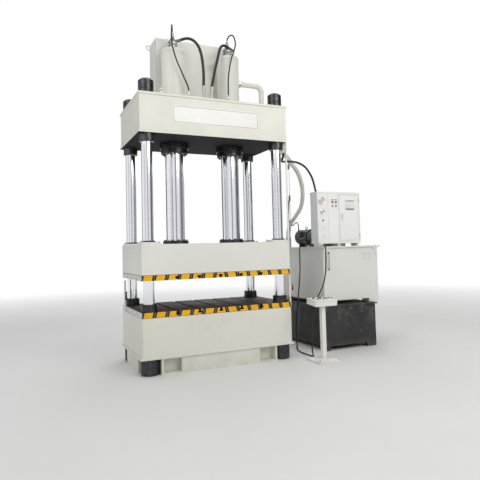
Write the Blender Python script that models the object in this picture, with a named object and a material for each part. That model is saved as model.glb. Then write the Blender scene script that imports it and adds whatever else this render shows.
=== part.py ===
"""Four-column hydraulic press with its power unit and operator stand.

Metres, +Z up, +X to the right along the front, the operator stands on the -Y side.
The origin is on the floor, in the middle of the press.
"""

import math

import bmesh
import bpy
from mathutils import Matrix, Vector

# Fits
TOUCH = 0.0003
RUN = 0.0005
SINK = 0.004

# Facets
COLUMN_SIDES = 16
RAM_SIDES = 20
FLANGE_SIDES = 16
COLLAR_SIDES = 12
FITTING_SIDES = 10
SHARP_ANGLE = math.radians(35)

# Bed, from the floor up
TABLE_WIDTH = 2.20
TABLE_DEPTH = 1.266
SKID_HEIGHT = 0.213
BED_HEIGHT = 0.535
BASE_FLANGE_THICKNESS = 0.025
BASE_FLANGE_OVERHANG = 0.025
SKID_NUT_GAP = 0.009
SKID_POCKET_WIDTH = 0.245
SKID_POCKET_DEPTH = 0.120
SKID_SOLE = 0.022
SKID_SOLE_OVERHANG = 0.008
SKID_LINTEL = 0.012
RUNNER_THICKNESS = 0.030
SKID_WING_DEPTH = 0.73
FRAME_EDGE = 0.006

# Bolster plate and slide plate
PLATE_THICKNESS = 0.071
SLOT_COUNT = 5
SLOT_PITCH = 0.310
SLOT_NECK_WIDTH = 0.036
SLOT_NECK_DEPTH = 0.026
SLOT_HEAD_WIDTH = 0.060
SLOT_HEAD_DEPTH = 0.022

# Heights above the bolster plate
DAYLIGHT = 0.411
SLIDE_BOX_HEIGHT = 0.409
SLIDE_TO_CROWN = 1.485
CROWN_HEIGHT = 0.547
CROWN_PLATE_THICKNESS = 0.030
CROWN_PLATE_OVERHANG = 0.012
CROWN_LUG_SIZE = (0.045, 0.020, 0.082)
CROWN_LUG_PLACE = (0.290, 0.032)

# Columns and nuts
COLUMN_RADIUS = 0.075
COLUMN_INSET_X = 0.121
COLUMN_INSET_Y = 0.113
COLUMN_END = 0.018
COLUMN_CHAMFER = 0.006
NUT_RADIUS = 0.104
NUT_CHAMFER = 0.010
TOP_NUT_HEIGHT = 0.185
LOWER_NUT_HEIGHT = 0.110
BED_NUT_HEIGHT = 0.102
FOOT_NUT_RADIUS = 0.120
FOOT_NUT_FLOOR_GAP = 0.012

# Guide caps of the slide
GUIDE_CAP_WIDTH = 0.265
GUIDE_CAP_DEPTH = 0.250
GUIDE_CAP_THICKNESS = 0.028
GUIDE_CAP_MARGIN = 0.006
GUIDE_CAP_CORNER = 0.030
WIPER_RADIUS = 0.096
WIPER_HEIGHT = 0.017

# Main cylinders and rams
CYLINDER_SPACING = 0.885
BARREL_RADIUS = 0.175
BARREL_BORE = 0.140
BARREL_HEIGHT_ABOVE_CROWN = 0.868
BARREL_CAP = 0.050
BARREL_CHAMFER = 0.014
RAM_RADIUS = 0.135
RAM_LENGTH = 1.990
PISTON_HEIGHT = 0.150
RAM_FLANGE_RADIUS = 0.186
RAM_FLANGE_HEIGHT = 0.052
RAM_FLANGE_CHAMFER = 0.006
GLAND_FLANGE_RADIUS = 0.212
GLAND_FLANGE_HEIGHT = 0.085
GLAND_RING_RADIUS = 0.196
GLAND_RING_HEIGHT = 0.072
GLAND_CHAMFER = 0.008

# Prefill tank and valves
PREFILL_TANK_WIDTH = 1.300
PREFILL_TANK_DEPTH = 0.370
PREFILL_TANK_HEIGHT = 1.118
PREFILL_TANK_GAP = 0.015
TANK_EDGE = 0.008
LIFTING_RING_RADIUS = 0.036
LIFTING_RING_BAR = 0.009
LIFTING_RING_DROP = 0.045
VALVE_FOOT_RADIUS = 0.086
VALVE_FOOT_HEIGHT = 0.030
VALVE_BLOCK_SIZE = 0.115
VALVE_BLOCK_HEIGHT = 0.110
VALVE_BONNET_RADIUS = 0.036
VALVE_BONNET_HEIGHT = 0.040
VALVE_STEM_RADIUS = 0.020
VALVE_STEM_TOP = 0.255

# Elbow pipe beside the right cylinder
ELBOW_RADIUS = 0.042
ELBOW_HEIGHT = 0.483
ELBOW_INSET = 0.0775
ELBOW_BEND = 0.095
ELBOW_BEND_STEPS = 5
ELBOW_COLLAR_RADIUS = 0.058
ELBOW_COLLAR_LENGTH = 0.030
ELBOW_FLANGE_RADIUS = 0.076
ELBOW_FLANGE_HEIGHT = 0.022

# Limit rail at the right front corner, and its dog on the slide
RAIL_RADIUS = 0.014
RAIL_OFFSET_X = 0.028
RAIL_INSET_Y = 0.068
RAIL_END = 0.050
RAIL_CLAMP_HEIGHT = 0.032
RAIL_CLAMP_DEPTH = 0.050
SWITCH_HEIGHTS = (1.02, 2.36, 2.84)
SWITCH_SIZE = (0.036, 0.050, 0.070)
DOG_SIZE = (0.050, 0.030, 0.070)
DOG_GAP = 0.012
DOG_DROP = 0.090

# Brass port under the crown, where the pressure hose starts
PORT_INSET_X = 0.032
PORT_INSET_Y = 0.029
PORT_RADIUS = 0.013
PORT_COLLAR_RADIUS = 0.016
PORT_LENGTH = 0.105

# Return port on the right side of the crown
RETURN_PORT_Y = 0.200
RETURN_PORT_RADIUS = 0.052
RETURN_PORT_LENGTH = 0.040
RETURN_PORT_HEIGHT = 0.105

# Hoses on top of the press: feet in a row on the crown, in front of the barrels
THICK_HOSE_RADIUS = 0.021
THIN_HOSE_RADIUS = 0.0105
FERRULE_LENGTH = 0.110
FERRULE_WALL = 0.002
ADAPTOR_NUT_HEIGHT = 0.045
VALVE_FERRULE_LENGTH = 0.115

# Power unit
LOWER_TANK_LEFT = 1.772
LOWER_TANK_FRONT = -0.499
LOWER_TANK_SIZE = (0.973, 1.520, 0.677)
LOWER_TANK_PLATE = 0.020
LOWER_TANK_PLATE_OVERHANG = 0.030
LOWER_TANK_FOOT_HEIGHT = 0.065
LOWER_TANK_FOOT_LEFT = 0.088
LOWER_TANK_FOOT_RIGHT = 0.175
OIL_TANK_SHIFT = 0.064
OIL_TANK_SETBACK = 0.093
OIL_TANK_SIZE = (1.064, 1.360, 0.927)
OIL_TANK_PLATE = 0.024
OIL_TANK_PLATE_OVERHANG = 0.035
OIL_TANK_FOOT_HEIGHT = 0.060
OIL_TANK_FOOT_WIDTH = 0.193
GUSSET_WIDTH = 0.105
GUSSET_HEIGHT = 0.165
GUSSET_THICKNESS = 0.010
GUSSET_INSET = 0.008
GAUGE_SIZE = (0.050, 0.024, 0.300)
GAUGE_INSET_X = 0.089
GAUGE_DROP = 0.237
GAUGE_WINDOW_WIDTH = 0.024
GAUGE_WINDOW_DEPTH = 0.008
GAUGE_WINDOW_MARGIN = 0.034

# Control cabinet
CABINET_SIZE = (0.838, 0.211, 0.844)
CABINET_SHIFT = -0.014
CABINET_SETBACK = 0.100
CABINET_FEET = 0.044
CABINET_FOOT_WIDTH = 0.045
CABINET_EDGE = 0.004
CABINET_WALL = 0.025
DOOR_SIZE = (0.400, 0.018, 0.760)
DOOR_MARGIN_RIGHT = 0.022
DOOR_MARGIN_TOP = 0.040
DOOR_GAP = 0.0015
SCREEN_SIZE = (0.180, 0.007, 0.170)
SCREEN_CENTRE = (0.215, 0.173)
HANDLE_SIZE = (0.022, 0.014, 0.100)
HANDLE_CENTRE = (0.060, 0.335)
HANDLE_NECK_RADIUS = 0.008
HANDLE_NECK = 0.006
LARGE_GAUGE = (0.080, 0.148, 0.058)
SMALL_GAUGE = (0.096, 0.330, 0.038)
DIAL_DEPTH = 0.016
DIAL_RIM = 0.006
DIAL_SINK = 0.004
KEY_SWITCH = (0.100, 0.468, 0.014)
RED_BUTTON_PLACES = ((0.291, 0.168), (0.358, 0.166))
RED_BUTTON_RADIUS = 0.016
RED_BUTTON_HEIGHT = 0.010

# Motor, pump, manifold and filler on the oil tank
PUMP_AXIS_INSET_X = 0.244
PUMP_AXIS_HEIGHT = 0.176
PUMP_START = 0.486
PUMP_LENGTH = 0.120
PUMP_RADIUS = 0.070
PUMP_EYE_RADIUS = 0.052
BELL_LENGTH = 0.100
BELL_RADIUS = 0.110
MOTOR_LENGTH = 0.380
MOTOR_RADIUS = 0.118
MOTOR_FIN = 0.012
MOTOR_FIN_COUNT = 14
MOTOR_COVER = 0.070
MOTOR_FOOT_WIDTH = 0.170
MOTOR_BOX = (0.050, 0.100, 0.090)
MANIFOLD_SIZE = (0.300, 0.180, 0.130)
MANIFOLD_INSET_X = 0.560
MANIFOLD_START = 0.590
SOLENOID_COUNT = 3
SOLENOID_RADIUS = 0.026
SOLENOID_HEIGHT = 0.036
VALVE_BODY_SIZE = (0.060, 0.150, 0.072)
MANIFOLD_PORT_RADIUS = 0.024
MANIFOLD_PORT_HEIGHT = 0.060
FILLER_PLACE = (0.800, 1.100)
FILLER_RADIUS = 0.045
FILLER_HEIGHT = 0.095
RETURN_SOCKET_RADIUS = 0.050
RETURN_SOCKET_HEIGHT = 0.150

# Operator stand
STAND_CENTRE = (1.385, -1.033)
STAND_BASE_SIZE = (0.354, 0.349)
STAND_BASE_EDGE = 0.026
STAND_BASE_SLOPE = 0.024
STAND_BASE_TOP = 0.220
STAND_POST = 0.062
STAND_POST_TOP = 0.800
CONSOLE_SIZE = (0.358, 0.245, 0.082)
CONSOLE_HEIGHT = 0.876
CONSOLE_TILT = math.radians(6.5)
CONSOLE_EDGE = 0.004
CONTROL_BORE_DEPTH = 0.024
CONTROL_STEM_RADIUS = 0.009
CONTROL_STEM_LENGTH = 0.016
SELECTOR_STEM_RADIUS = 0.0082
CONTROL_LIFT = 0.0055
COLLAR_RADIUS = 0.0155
COLLAR_HEIGHT = 0.004
CABLE_GLAND_RADIUS = 0.014
CABLE_GLAND_LENGTH = 0.026

# Cables and free hoses
PRESSURE_HOSE_RADIUS = 0.017
RETURN_HOSE_RADIUS = 0.038
CABLE_RADIUS = 0.010
LIMIT_CABLE_RADIUS = 0.008
CORD_SPACING = 3.0
CORD_SAMPLES = 16

# Levels that follow from the sizes above
FLANGE_BOTTOM = SKID_HEIGHT
BED_BOX_TOP = FLANGE_BOTTOM + BED_HEIGHT
TABLE_TOP = BED_BOX_TOP + PLATE_THICKNESS
SLIDE_BOTTOM = TABLE_TOP + DAYLIGHT
SLIDE_BOX_BOTTOM = SLIDE_BOTTOM + PLATE_THICKNESS
SLIDE_TOP = SLIDE_BOX_BOTTOM + SLIDE_BOX_HEIGHT
CROWN_BOTTOM = SLIDE_TOP + SLIDE_TO_CROWN
CROWN_TOP = CROWN_BOTTOM + CROWN_HEIGHT
BARREL_TOP = CROWN_TOP + BARREL_HEIGHT_ABOVE_CROWN
HALF_WIDTH = TABLE_WIDTH / 2
HALF_DEPTH = TABLE_DEPTH / 2
COLUMN_X = HALF_WIDTH - COLUMN_INSET_X
COLUMN_Y = HALF_DEPTH - COLUMN_INSET_Y
RAM_X = CYLINDER_SPACING / 2
SKID_HALF_WIDTH = COLUMN_X - FOOT_NUT_RADIUS - SKID_NUT_GAP
RUNNER_INNER_X = SKID_HALF_WIDTH - RUNNER_THICKNESS
SKID_CORE_HALF_WIDTH = RUNNER_INNER_X - SKID_POCKET_WIDTH
RAIL_X = HALF_WIDTH + RAIL_OFFSET_X
RAIL_Y = -(HALF_DEPTH - RAIL_INSET_Y)
LOWER_TANK_TOP = LOWER_TANK_SIZE[2] + LOWER_TANK_PLATE
OIL_TANK_LEFT = LOWER_TANK_LEFT + OIL_TANK_SHIFT
OIL_TANK_FRONT = LOWER_TANK_FRONT + OIL_TANK_SETBACK
OIL_TANK_TOP = LOWER_TANK_TOP + OIL_TANK_SIZE[2]
CABINET_LEFT = OIL_TANK_LEFT + CABINET_SHIFT
CABINET_FRONT = OIL_TANK_FRONT + CABINET_SETBACK
CABINET_BOTTOM = OIL_TANK_TOP + CABINET_FEET
CABINET_TOP = CABINET_BOTTOM + CABINET_SIZE[2]
DOOR_RIGHT = CABINET_LEFT + CABINET_SIZE[0] - DOOR_MARGIN_RIGHT
DOOR_TOP = CABINET_TOP - DOOR_MARGIN_TOP
PUMP_AXIS_X = OIL_TANK_LEFT + PUMP_AXIS_INSET_X
PUMP_AXIS_Z = OIL_TANK_TOP + PUMP_AXIS_HEIGHT
PUMP_FRONT_Y = OIL_TANK_FRONT + PUMP_START
BELL_START_Y = PUMP_FRONT_Y + PUMP_LENGTH
MOTOR_START_Y = BELL_START_Y + BELL_LENGTH

CORNERS = {
    "front_left": (-1, -1),
    "front_right": (1, -1),
    "rear_left": (-1, 1),
    "rear_right": (1, 1),
}
SIDES = {"left": -1, "right": 1}

# Hose routes on top of the press, from the valve to the foot on the crown
TOP_HOSES = {
    "thin_hose_left": (THIN_HOSE_RADIUS, [
        (-0.4425, 0.000, 4.8655), (-0.4425, 0.000, 4.884), (-0.4461, -0.0101, 4.924),
        (-0.4559, -0.0377, 4.9533), (-0.4694, -0.0754, 4.964), (-0.4828, -0.113, 4.9533),
        (-0.4927, -0.1406, 4.924), (-0.501, -0.166, 4.872), (-0.513, -0.200, 4.790), (-0.517, -0.216, 4.700),
        (-0.506, -0.233, 4.560), (-0.451, -0.250, 4.356), (-0.344, -0.250, 4.121), (-0.296, -0.250, 4.010),
        (-0.283, -0.250, 3.950), (-0.281, -0.250, 3.920), (-0.281, -0.250, 3.895)]),
    "thick_hose_left": (THICK_HOSE_RADIUS, [
        (-0.335, -0.045, 4.772), (-0.302, -0.050, 4.786), (-0.235, -0.062, 4.806), (-0.168, -0.082, 4.793),
        (-0.112, -0.115, 4.738), (-0.072, -0.155, 4.640), (-0.050, -0.200, 4.480), (-0.044, -0.235, 4.250),
        (-0.050, -0.248, 4.080), (-0.052, -0.250, 4.025), (-0.052, -0.250, 3.980)]),
    "thick_hose_right": (THICK_HOSE_RADIUS, [
        (0.425, -0.070, 4.762), (0.392, -0.086, 4.768), (0.343, -0.109, 4.765), (0.298, -0.131, 4.739),
        (0.268, -0.145, 4.698), (0.238, -0.160, 4.615), (0.205, -0.177, 4.500), (0.154, -0.205, 4.340),
        (0.108, -0.238, 4.170), (0.087, -0.248, 4.080), (0.082, -0.250, 4.020), (0.082, -0.250, 3.980)]),
    "thin_hose_right": (THIN_HOSE_RADIUS, [
        (0.4425, 0.000, 4.8655), (0.4425, 0.000, 4.884), (0.4468, -0.0095, 4.923), (0.4585, -0.0356, 4.9515),
        (0.4744, -0.0711, 4.962), (0.4904, -0.1067, 4.9515), (0.502, -0.1327, 4.923), (0.508, -0.160, 4.862),
        (0.508, -0.182, 4.795), (0.482, -0.206, 4.700), (0.402, -0.240, 4.490), (0.354, -0.250, 4.260),
        (0.343, -0.250, 4.080), (0.342, -0.250, 3.940), (0.342, -0.250, 3.895)]),
}
VALVE_FERRULES = {"left": "thick_hose_left", "right": "thick_hose_right"}

# Routes of the free hoses and cables
PRESSURE_HOSE_ROUTE = [
    (1.068, -0.604, 3.0896), (1.068, -0.604, 3.070), (1.070, -0.588, 3.008), (1.077, -0.545, 2.963),
    (1.096, -0.484, 2.946), (1.140, -0.412, 2.948), (1.206, -0.345, 2.957), (1.300, -0.280, 2.974),
    (1.440, -0.195, 2.996), (1.610, -0.100, 3.000), (1.780, 0.000, 2.972), (1.920, 0.100, 2.915),
    (2.055, 0.190, 2.800), (2.140, 0.245, 2.630), (2.200, 0.268, 2.430), (2.285, 0.272, 2.235),
    (2.378, 0.2735, 2.075), (2.430, 0.2735, 1.950), (2.446, 0.2735, 1.855), (2.446, 0.2735, 1.815),
]
RETURN_HOSE_ROUTE = [
    (1.1404, 0.200, 3.300), (1.260, 0.200, 3.300), (1.430, 0.230, 3.262), (1.620, 0.300, 3.175),
    (1.780, 0.400, 3.065), (1.955, 0.500, 2.935), (2.090, 0.600, 2.720), (2.140, 0.680, 2.500),
    (2.120, 0.730, 2.330), (2.045, 0.780, 2.190), (1.960, 0.840, 2.040), (1.930, 0.875, 1.880),
    (1.930, 0.875, 1.7744),
]
LIMIT_CABLE_ROUTE = [
    (1.153, -0.565, 2.3245), (1.153, -0.565, 2.3145), (1.1546, -0.5617, 2.2753), (1.1644, -0.5416, 2.2309),
    (1.1982, -0.4744, 2.1662), (1.2769, -0.3289, 2.0746), (1.3781, -0.1788, 2.0192), (1.4941, -0.0195, 1.9901),
    (1.6086, 0.1313, 1.9856), (1.7234, 0.279, 2.0149), (1.778, 0.3479, 2.0329), (1.8086, 0.3855, 2.0444),
    (1.8416, 0.4222, 2.0517), (1.8558, 0.4361, 2.0526), (1.8782, 0.4559, 2.0511), (1.913, 0.4842, 2.0316),
    (1.9339, 0.4987, 1.9897), (1.936, 0.500, 1.940), (1.936, 0.500, 1.930),
]
PANEL_CABLE_ROUTE = [
    (1.925, 0.150, 1.6504), (1.925, 0.150, 1.669), (1.925, 0.1394, 1.7085), (1.925, 0.1105, 1.7374),
    (1.925, 0.071, 1.748), (1.925, 0.0257, 1.7337), (1.925, -0.0035, 1.6952), (1.925, -0.0327, 1.6568),
    (1.925, -0.078, 1.6425), (1.924, -0.150, 1.6385), (1.918, -0.240, 1.638), (1.898, -0.320, 1.642),
    (1.868, -0.385, 1.654), (1.850, -0.427, 1.653), (1.837, -0.468, 1.634), (1.829, -0.495, 1.594),
    (1.823, -0.506, 1.535), (1.812, -0.517, 1.430), (1.780, -0.556, 1.290), (1.710, -0.630, 1.150),
    (1.620, -0.703, 1.030), (1.545, -0.748, 0.952), (1.490, -0.778, 0.902), (1.454, -0.806, 0.866),
    (1.436, -0.838, 0.844), (1.430, -0.868, 0.836), (1.430, -0.885, 0.836),
]
FLOOR_CABLE_ROUTE = [
    (1.880, 0.120, 1.6504), (1.880, 0.120, 1.669), (1.8694, 0.1198, 1.7085), (1.8405, 0.1192, 1.7374),
    (1.801, 0.1184, 1.748), (1.7615, 0.1176, 1.7374), (1.7326, 0.1171, 1.7085), (1.722, 0.1168, 1.669),
    (1.7225, 0.122, 1.590), (1.728, 0.138, 1.450), (1.740, 0.168, 1.200), (1.734, 0.205, 0.950),
    (1.720, 0.235, 0.730), (1.711, 0.270, 0.480), (1.704, 0.292, 0.280), (1.700, 0.290, 0.150),
    (1.692, 0.268, 0.078), (1.670, 0.220, 0.032), (1.632, 0.150, 0.0125), (1.585, 0.070, 0.0105),
    (1.480, -0.120, 0.0105), (1.405, -0.340, 0.0105), (1.388, -0.540, 0.0105), (1.392, -0.680, 0.0112),
    (1.374, -0.775, 0.022), (1.332, -0.832, 0.062), (1.290, -0.882, 0.140), (1.264, -0.925, 0.270),
    (1.262, -0.945, 0.430), (1.285, -0.960, 0.585), (1.316, -0.968, 0.680), (1.329, -0.970, 0.740),
    (1.330, -0.970, 0.780),
]

# Controls on the console: place on its face, cap radius, cap height and paint
CONTROLS = {
    "mode_selector": (-0.132, 0.020, 0.014, 0.010, "black_plastic"),
    "start_button": (-0.088, -0.022, 0.0135, 0.009, "green_plastic"),
    "emergency_stop": (-0.022, 0.024, 0.021, 0.016, "red_plastic"),
    "reset_button": (0.028, -0.008, 0.0135, 0.009, "black_plastic"),
    "lamp_test_button": (0.069, 0.000, 0.0135, 0.009, "amber_plastic"),
    "return_button": (0.110, 0.004, 0.0135, 0.009, "green_plastic"),
    "jog_button": (0.149, -0.012, 0.0135, 0.009, "grey_plastic"),
}
SELECTOR_BAR = (0.008, 0.026, 0.010)

PAINTS = {
    "cream_paint": ((0.74, 0.72, 0.64), 0.45, 0.0),
    "white_paint": ((0.80, 0.80, 0.77), 0.42, 0.0),
    "charcoal_paint": ((0.035, 0.038, 0.042), 0.55, 0.0),
    "table_steel": ((0.16, 0.145, 0.13), 0.50, 0.9),
    "black_oxide": ((0.02, 0.02, 0.022), 0.35, 0.6),
    "chrome": ((0.85, 0.85, 0.87), 0.08, 1.0),
    "valve_steel": ((0.28, 0.29, 0.31), 0.45, 0.8),
    "brass": ((0.62, 0.43, 0.16), 0.35, 1.0),
    "motor_paint": ((0.10, 0.11, 0.12), 0.50, 0.0),
    "gauge_chrome": ((0.75, 0.75, 0.76), 0.20, 0.9),
    "black_rubber": ((0.018, 0.018, 0.020), 0.60, 0.0),
    "clear_hose": ((0.62, 0.60, 0.58), 0.35, 0.0),
    "black_plastic": ((0.02, 0.02, 0.02), 0.40, 0.0),
    "green_plastic": ((0.03, 0.28, 0.16), 0.35, 0.0),
    "red_plastic": ((0.55, 0.03, 0.03), 0.35, 0.0),
    "amber_plastic": ((0.55, 0.35, 0.08), 0.35, 0.0),
    "grey_plastic": ((0.35, 0.36, 0.36), 0.40, 0.0),
}


# Basic operations

def clear_scene():
    for obj in list(bpy.data.objects):
        bpy.data.objects.remove(obj)


def paint_material(paint):
    found = bpy.data.materials.get(paint)
    if found:
        return found
    colour, roughness, metallic = PAINTS[paint]
    made = bpy.data.materials.new(paint)
    made.use_nodes = True
    shader = made.node_tree.nodes["Principled BSDF"]
    shader.inputs["Base Color"].default_value = (*colour, 1.0)
    shader.inputs["Roughness"].default_value = roughness
    shader.inputs["Metallic"].default_value = metallic
    return made


def link(name, data, paint):
    obj = bpy.data.objects.new(name, data)
    bpy.context.scene.collection.objects.link(obj)
    if paint:
        data.materials.append(paint_material(paint))
    return obj


def finish(name, bm, paint, location=(0, 0, 0), rotation=(0, 0, 0)):
    bmesh.ops.recalc_face_normals(bm, faces=bm.faces)
    mesh = bpy.data.meshes.new(name)
    bm.to_mesh(mesh)
    bm.free()
    mesh.shade_smooth()
    mesh.set_sharp_from_angle(angle=SHARP_ANGLE)
    obj = link(name, mesh, paint)
    obj.location = location
    obj.rotation_euler = rotation
    return obj


def combine(target, operation, bm, label, location=(0, 0, 0), rotation=(0, 0, 0)):
    tool = finish(target.name + "_" + label, bm, None, location, rotation)
    tool.hide_render = True
    tool.display_type = "WIRE"
    modifier = target.modifiers.new(label, "BOOLEAN")
    modifier.operation = operation
    modifier.solver = "EXACT"
    modifier.object = tool


def carrier(name, location, rotation=(0, 0, 0)):
    empty = link(name, None, None)
    empty.location = location
    empty.rotation_euler = rotation
    return empty


def carry(parent, *children):
    for child in children:
        child.parent = parent
        child.matrix_parent_inverse = Matrix.Translation(parent.location).inverted()


def add_box(bm, low, high, edge=0.0):
    low, high = Vector(low), Vector(high)
    place = Matrix.Translation((low + high) / 2) @ Matrix.Diagonal((*(high - low), 1.0))
    made = bmesh.ops.create_cube(bm, size=1.0, matrix=place)["verts"]
    if edge:
        edges = {e for vert in made for e in vert.link_edges}
        bmesh.ops.bevel(bm, geom=list(edges), offset=edge, segments=1, affect="EDGES")


def add_turned(bm, profile, sides, place=Matrix()):
    """Turn (radius, height) points about local Z; radius 0 closes an end."""
    rings = []
    for radius, height in [point for point in profile if point[0]]:
        angles = [2 * math.pi * (k + 0.5) / sides for k in range(sides)]
        rings.append([bm.verts.new(place @ Vector((radius * math.cos(a), radius * math.sin(a), height)))
                      for a in angles])
    pairs = list(zip(rings, rings[1:]))
    if profile[0][0] and profile[-1][0]:
        pairs.append((rings[-1], rings[0]))
    else:
        bm.faces.new(rings[0])
        bm.faces.new(rings[-1])
    for first, second in pairs:
        for k in range(sides):
            after = (k + 1) % sides
            bm.faces.new((first[k], first[after], second[after], second[k]))


def add_prism(bm, outline, start, end, place=Matrix()):
    """Extrude an outline of local XY points from local height start to end."""
    low = [bm.verts.new(place @ Vector((x, y, start))) for x, y in outline]
    high = [bm.verts.new(place @ Vector((x, y, end))) for x, y in outline]
    bm.faces.new(low)
    bm.faces.new(high)
    for k in range(len(outline)):
        after = (k + 1) % len(outline)
        bm.faces.new((low[k], low[after], high[after], high[k]))


def rod_profile(radius, start, end, chamfer=0.0):
    if not chamfer:
        return [(0, start), (radius, start), (radius, end), (0, end)]
    return [(0, start), (radius - chamfer, start), (radius, start + chamfer),
            (radius, end - chamfer), (radius - chamfer, end), (0, end)]


def ring_profile(inner, outer, start, end, chamfer):
    """A ring that is chamfered at its free end."""
    return [(inner, start), (outer, start), (outer, end - chamfer), (outer - chamfer, end), (inner, end)]


def along(direction, origin):
    """A frame whose local Z points along direction."""
    turn = Vector((0, 0, 1)).rotation_difference(Vector(direction)).to_matrix().to_4x4()
    return Matrix.Translation(origin) @ turn


def along_y(origin):
    return along((0, 1, 0), origin)


def rounded_outline(width, height, radius, steps=3):
    points = []
    for turn, (sx, sy) in enumerate(((1, 1), (-1, 1), (-1, -1), (1, -1))):
        for step in range(steps + 1):
            angle = math.pi / 2 * (turn + step / steps)
            points.append((sx * (width / 2 - radius) + radius * math.cos(angle),
                           sy * (height / 2 - radius) + radius * math.sin(angle)))
    return points


def at_corner(name):
    side, depth = CORNERS[name]
    return side * COLUMN_X, depth * COLUMN_Y


def column_bores(radius, low, high):
    bm = bmesh.new()
    for name in CORNERS:
        add_turned(bm, rod_profile(radius, low, high), COLUMN_SIDES,
                   Matrix.Translation((*at_corner(name), 0)))
    return bm


# Press frame

def make_bed():
    bm = bmesh.new()
    add_box(bm, (-HALF_WIDTH, -HALF_DEPTH, FLANGE_BOTTOM + BASE_FLANGE_THICKNESS - SINK),
            (HALF_WIDTH, HALF_DEPTH, BED_BOX_TOP), FRAME_EDGE)
    bed = finish("bed_frame", bm, "cream_paint")

    flange = bmesh.new()
    reach_x = HALF_WIDTH + BASE_FLANGE_OVERHANG
    reach_y = HALF_DEPTH + BASE_FLANGE_OVERHANG
    add_box(flange, (-reach_x, -reach_y, FLANGE_BOTTOM),
            (reach_x, reach_y, FLANGE_BOTTOM + BASE_FLANGE_THICKNESS))
    combine(bed, "UNION", flange, "flange")

    skid = bmesh.new()
    top = FLANGE_BOTTOM + SINK
    add_box(skid, (-SKID_HALF_WIDTH, -HALF_DEPTH, SINK), (SKID_HALF_WIDTH, HALF_DEPTH, top))
    combine(bed, "UNION", skid, "skid")
    sole = bmesh.new()
    reach_x = SKID_HALF_WIDTH + SKID_SOLE_OVERHANG
    reach_y = HALF_DEPTH + SKID_SOLE_OVERHANG
    add_box(sole, (-reach_x, -reach_y, 0), (reach_x, reach_y, SKID_SOLE))
    combine(bed, "UNION", sole, "sole")
    for label, side in SIDES.items():
        wing = bmesh.new()
        xs = sorted((side * (SKID_HALF_WIDTH - SINK), side * HALF_WIDTH))
        add_box(wing, (xs[0], -SKID_WING_DEPTH / 2, 0), (xs[1], SKID_WING_DEPTH / 2, top))
        combine(bed, "UNION", wing, "wing_" + label)
        for end, depth in (("front", -1), ("rear", 1)):
            pocket = bmesh.new()
            xs = sorted((side * SKID_CORE_HALF_WIDTH, side * RUNNER_INNER_X))
            ys = sorted((depth * (HALF_DEPTH - SKID_POCKET_DEPTH), depth * (HALF_DEPTH + SINK)))
            add_box(pocket, (xs[0], ys[0], SKID_SOLE), (xs[1], ys[1], FLANGE_BOTTOM - SKID_LINTEL))
            combine(bed, "DIFFERENCE", pocket, f"pocket_{end}_{label}")
    combine(bed, "DIFFERENCE", column_bores(COLUMN_RADIUS + TOUCH, FLANGE_BOTTOM - SINK, BED_BOX_TOP + SINK),
            "bores")


def slotted_outline(bottom, top, slots_up):
    """Section of a plate with T-slots in its upper or lower face, in X and Z."""
    face = top if slots_up else bottom
    into = -1 if slots_up else 1
    slots = []
    for k in range(SLOT_COUNT):
        centre = (k - (SLOT_COUNT - 1) / 2) * SLOT_PITCH
        neck = face + into * SLOT_NECK_DEPTH
        head = neck + into * SLOT_HEAD_DEPTH
        slots += [(centre - SLOT_NECK_WIDTH / 2, face), (centre - SLOT_NECK_WIDTH / 2, neck),
                  (centre - SLOT_HEAD_WIDTH / 2, neck), (centre - SLOT_HEAD_WIDTH / 2, head),
                  (centre + SLOT_HEAD_WIDTH / 2, head), (centre + SLOT_HEAD_WIDTH / 2, neck),
                  (centre + SLOT_NECK_WIDTH / 2, neck), (centre + SLOT_NECK_WIDTH / 2, face)]
    back = bottom if slots_up else top
    return [(-HALF_WIDTH, face)] + slots + [(HALF_WIDTH, face), (HALF_WIDTH, back), (-HALF_WIDTH, back)]


def make_slotted_plate(name, bottom, top, slots_up, bore):
    bm = bmesh.new()
    stand_up = Matrix.Rotation(math.pi / 2, 4, "X")
    add_prism(bm, slotted_outline(bottom, top, slots_up), -HALF_DEPTH, HALF_DEPTH, stand_up)
    plate = finish(name, bm, "table_steel")
    combine(plate, "DIFFERENCE", column_bores(bore, bottom - SINK, top + SINK), "bores")
    return plate


def make_column(name):
    foot_top = FLANGE_BOTTOM - TOUCH
    nut_top = CROWN_BOTTOM - TOUCH
    nut_bottom = nut_top - LOWER_NUT_HEIGHT
    end = CROWN_TOP + TOP_NUT_HEIGHT + COLUMN_END
    bm = bmesh.new()
    add_turned(bm, [
        (0, FOOT_NUT_FLOOR_GAP), (FOOT_NUT_RADIUS, FOOT_NUT_FLOOR_GAP), (FOOT_NUT_RADIUS, foot_top),
        (COLUMN_RADIUS, foot_top), (COLUMN_RADIUS, nut_bottom),
        (NUT_RADIUS - NUT_CHAMFER, nut_bottom), (NUT_RADIUS, nut_bottom + NUT_CHAMFER),
        (NUT_RADIUS, nut_top), (COLUMN_RADIUS, nut_top), (COLUMN_RADIUS, end - COLUMN_CHAMFER),
        (COLUMN_RADIUS - COLUMN_CHAMFER, end), (0, end)], COLUMN_SIDES)
    return finish("column_" + name, bm, "chrome", (*at_corner(name), 0))


def make_nut(name, corner, seat, height):
    bm = bmesh.new()
    add_turned(bm, ring_profile(COLUMN_RADIUS + TOUCH, NUT_RADIUS, TOUCH, TOUCH + height, NUT_CHAMFER),
               COLUMN_SIDES)
    return finish(name + "_" + corner, bm, "black_oxide", (*at_corner(corner), seat))


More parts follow.
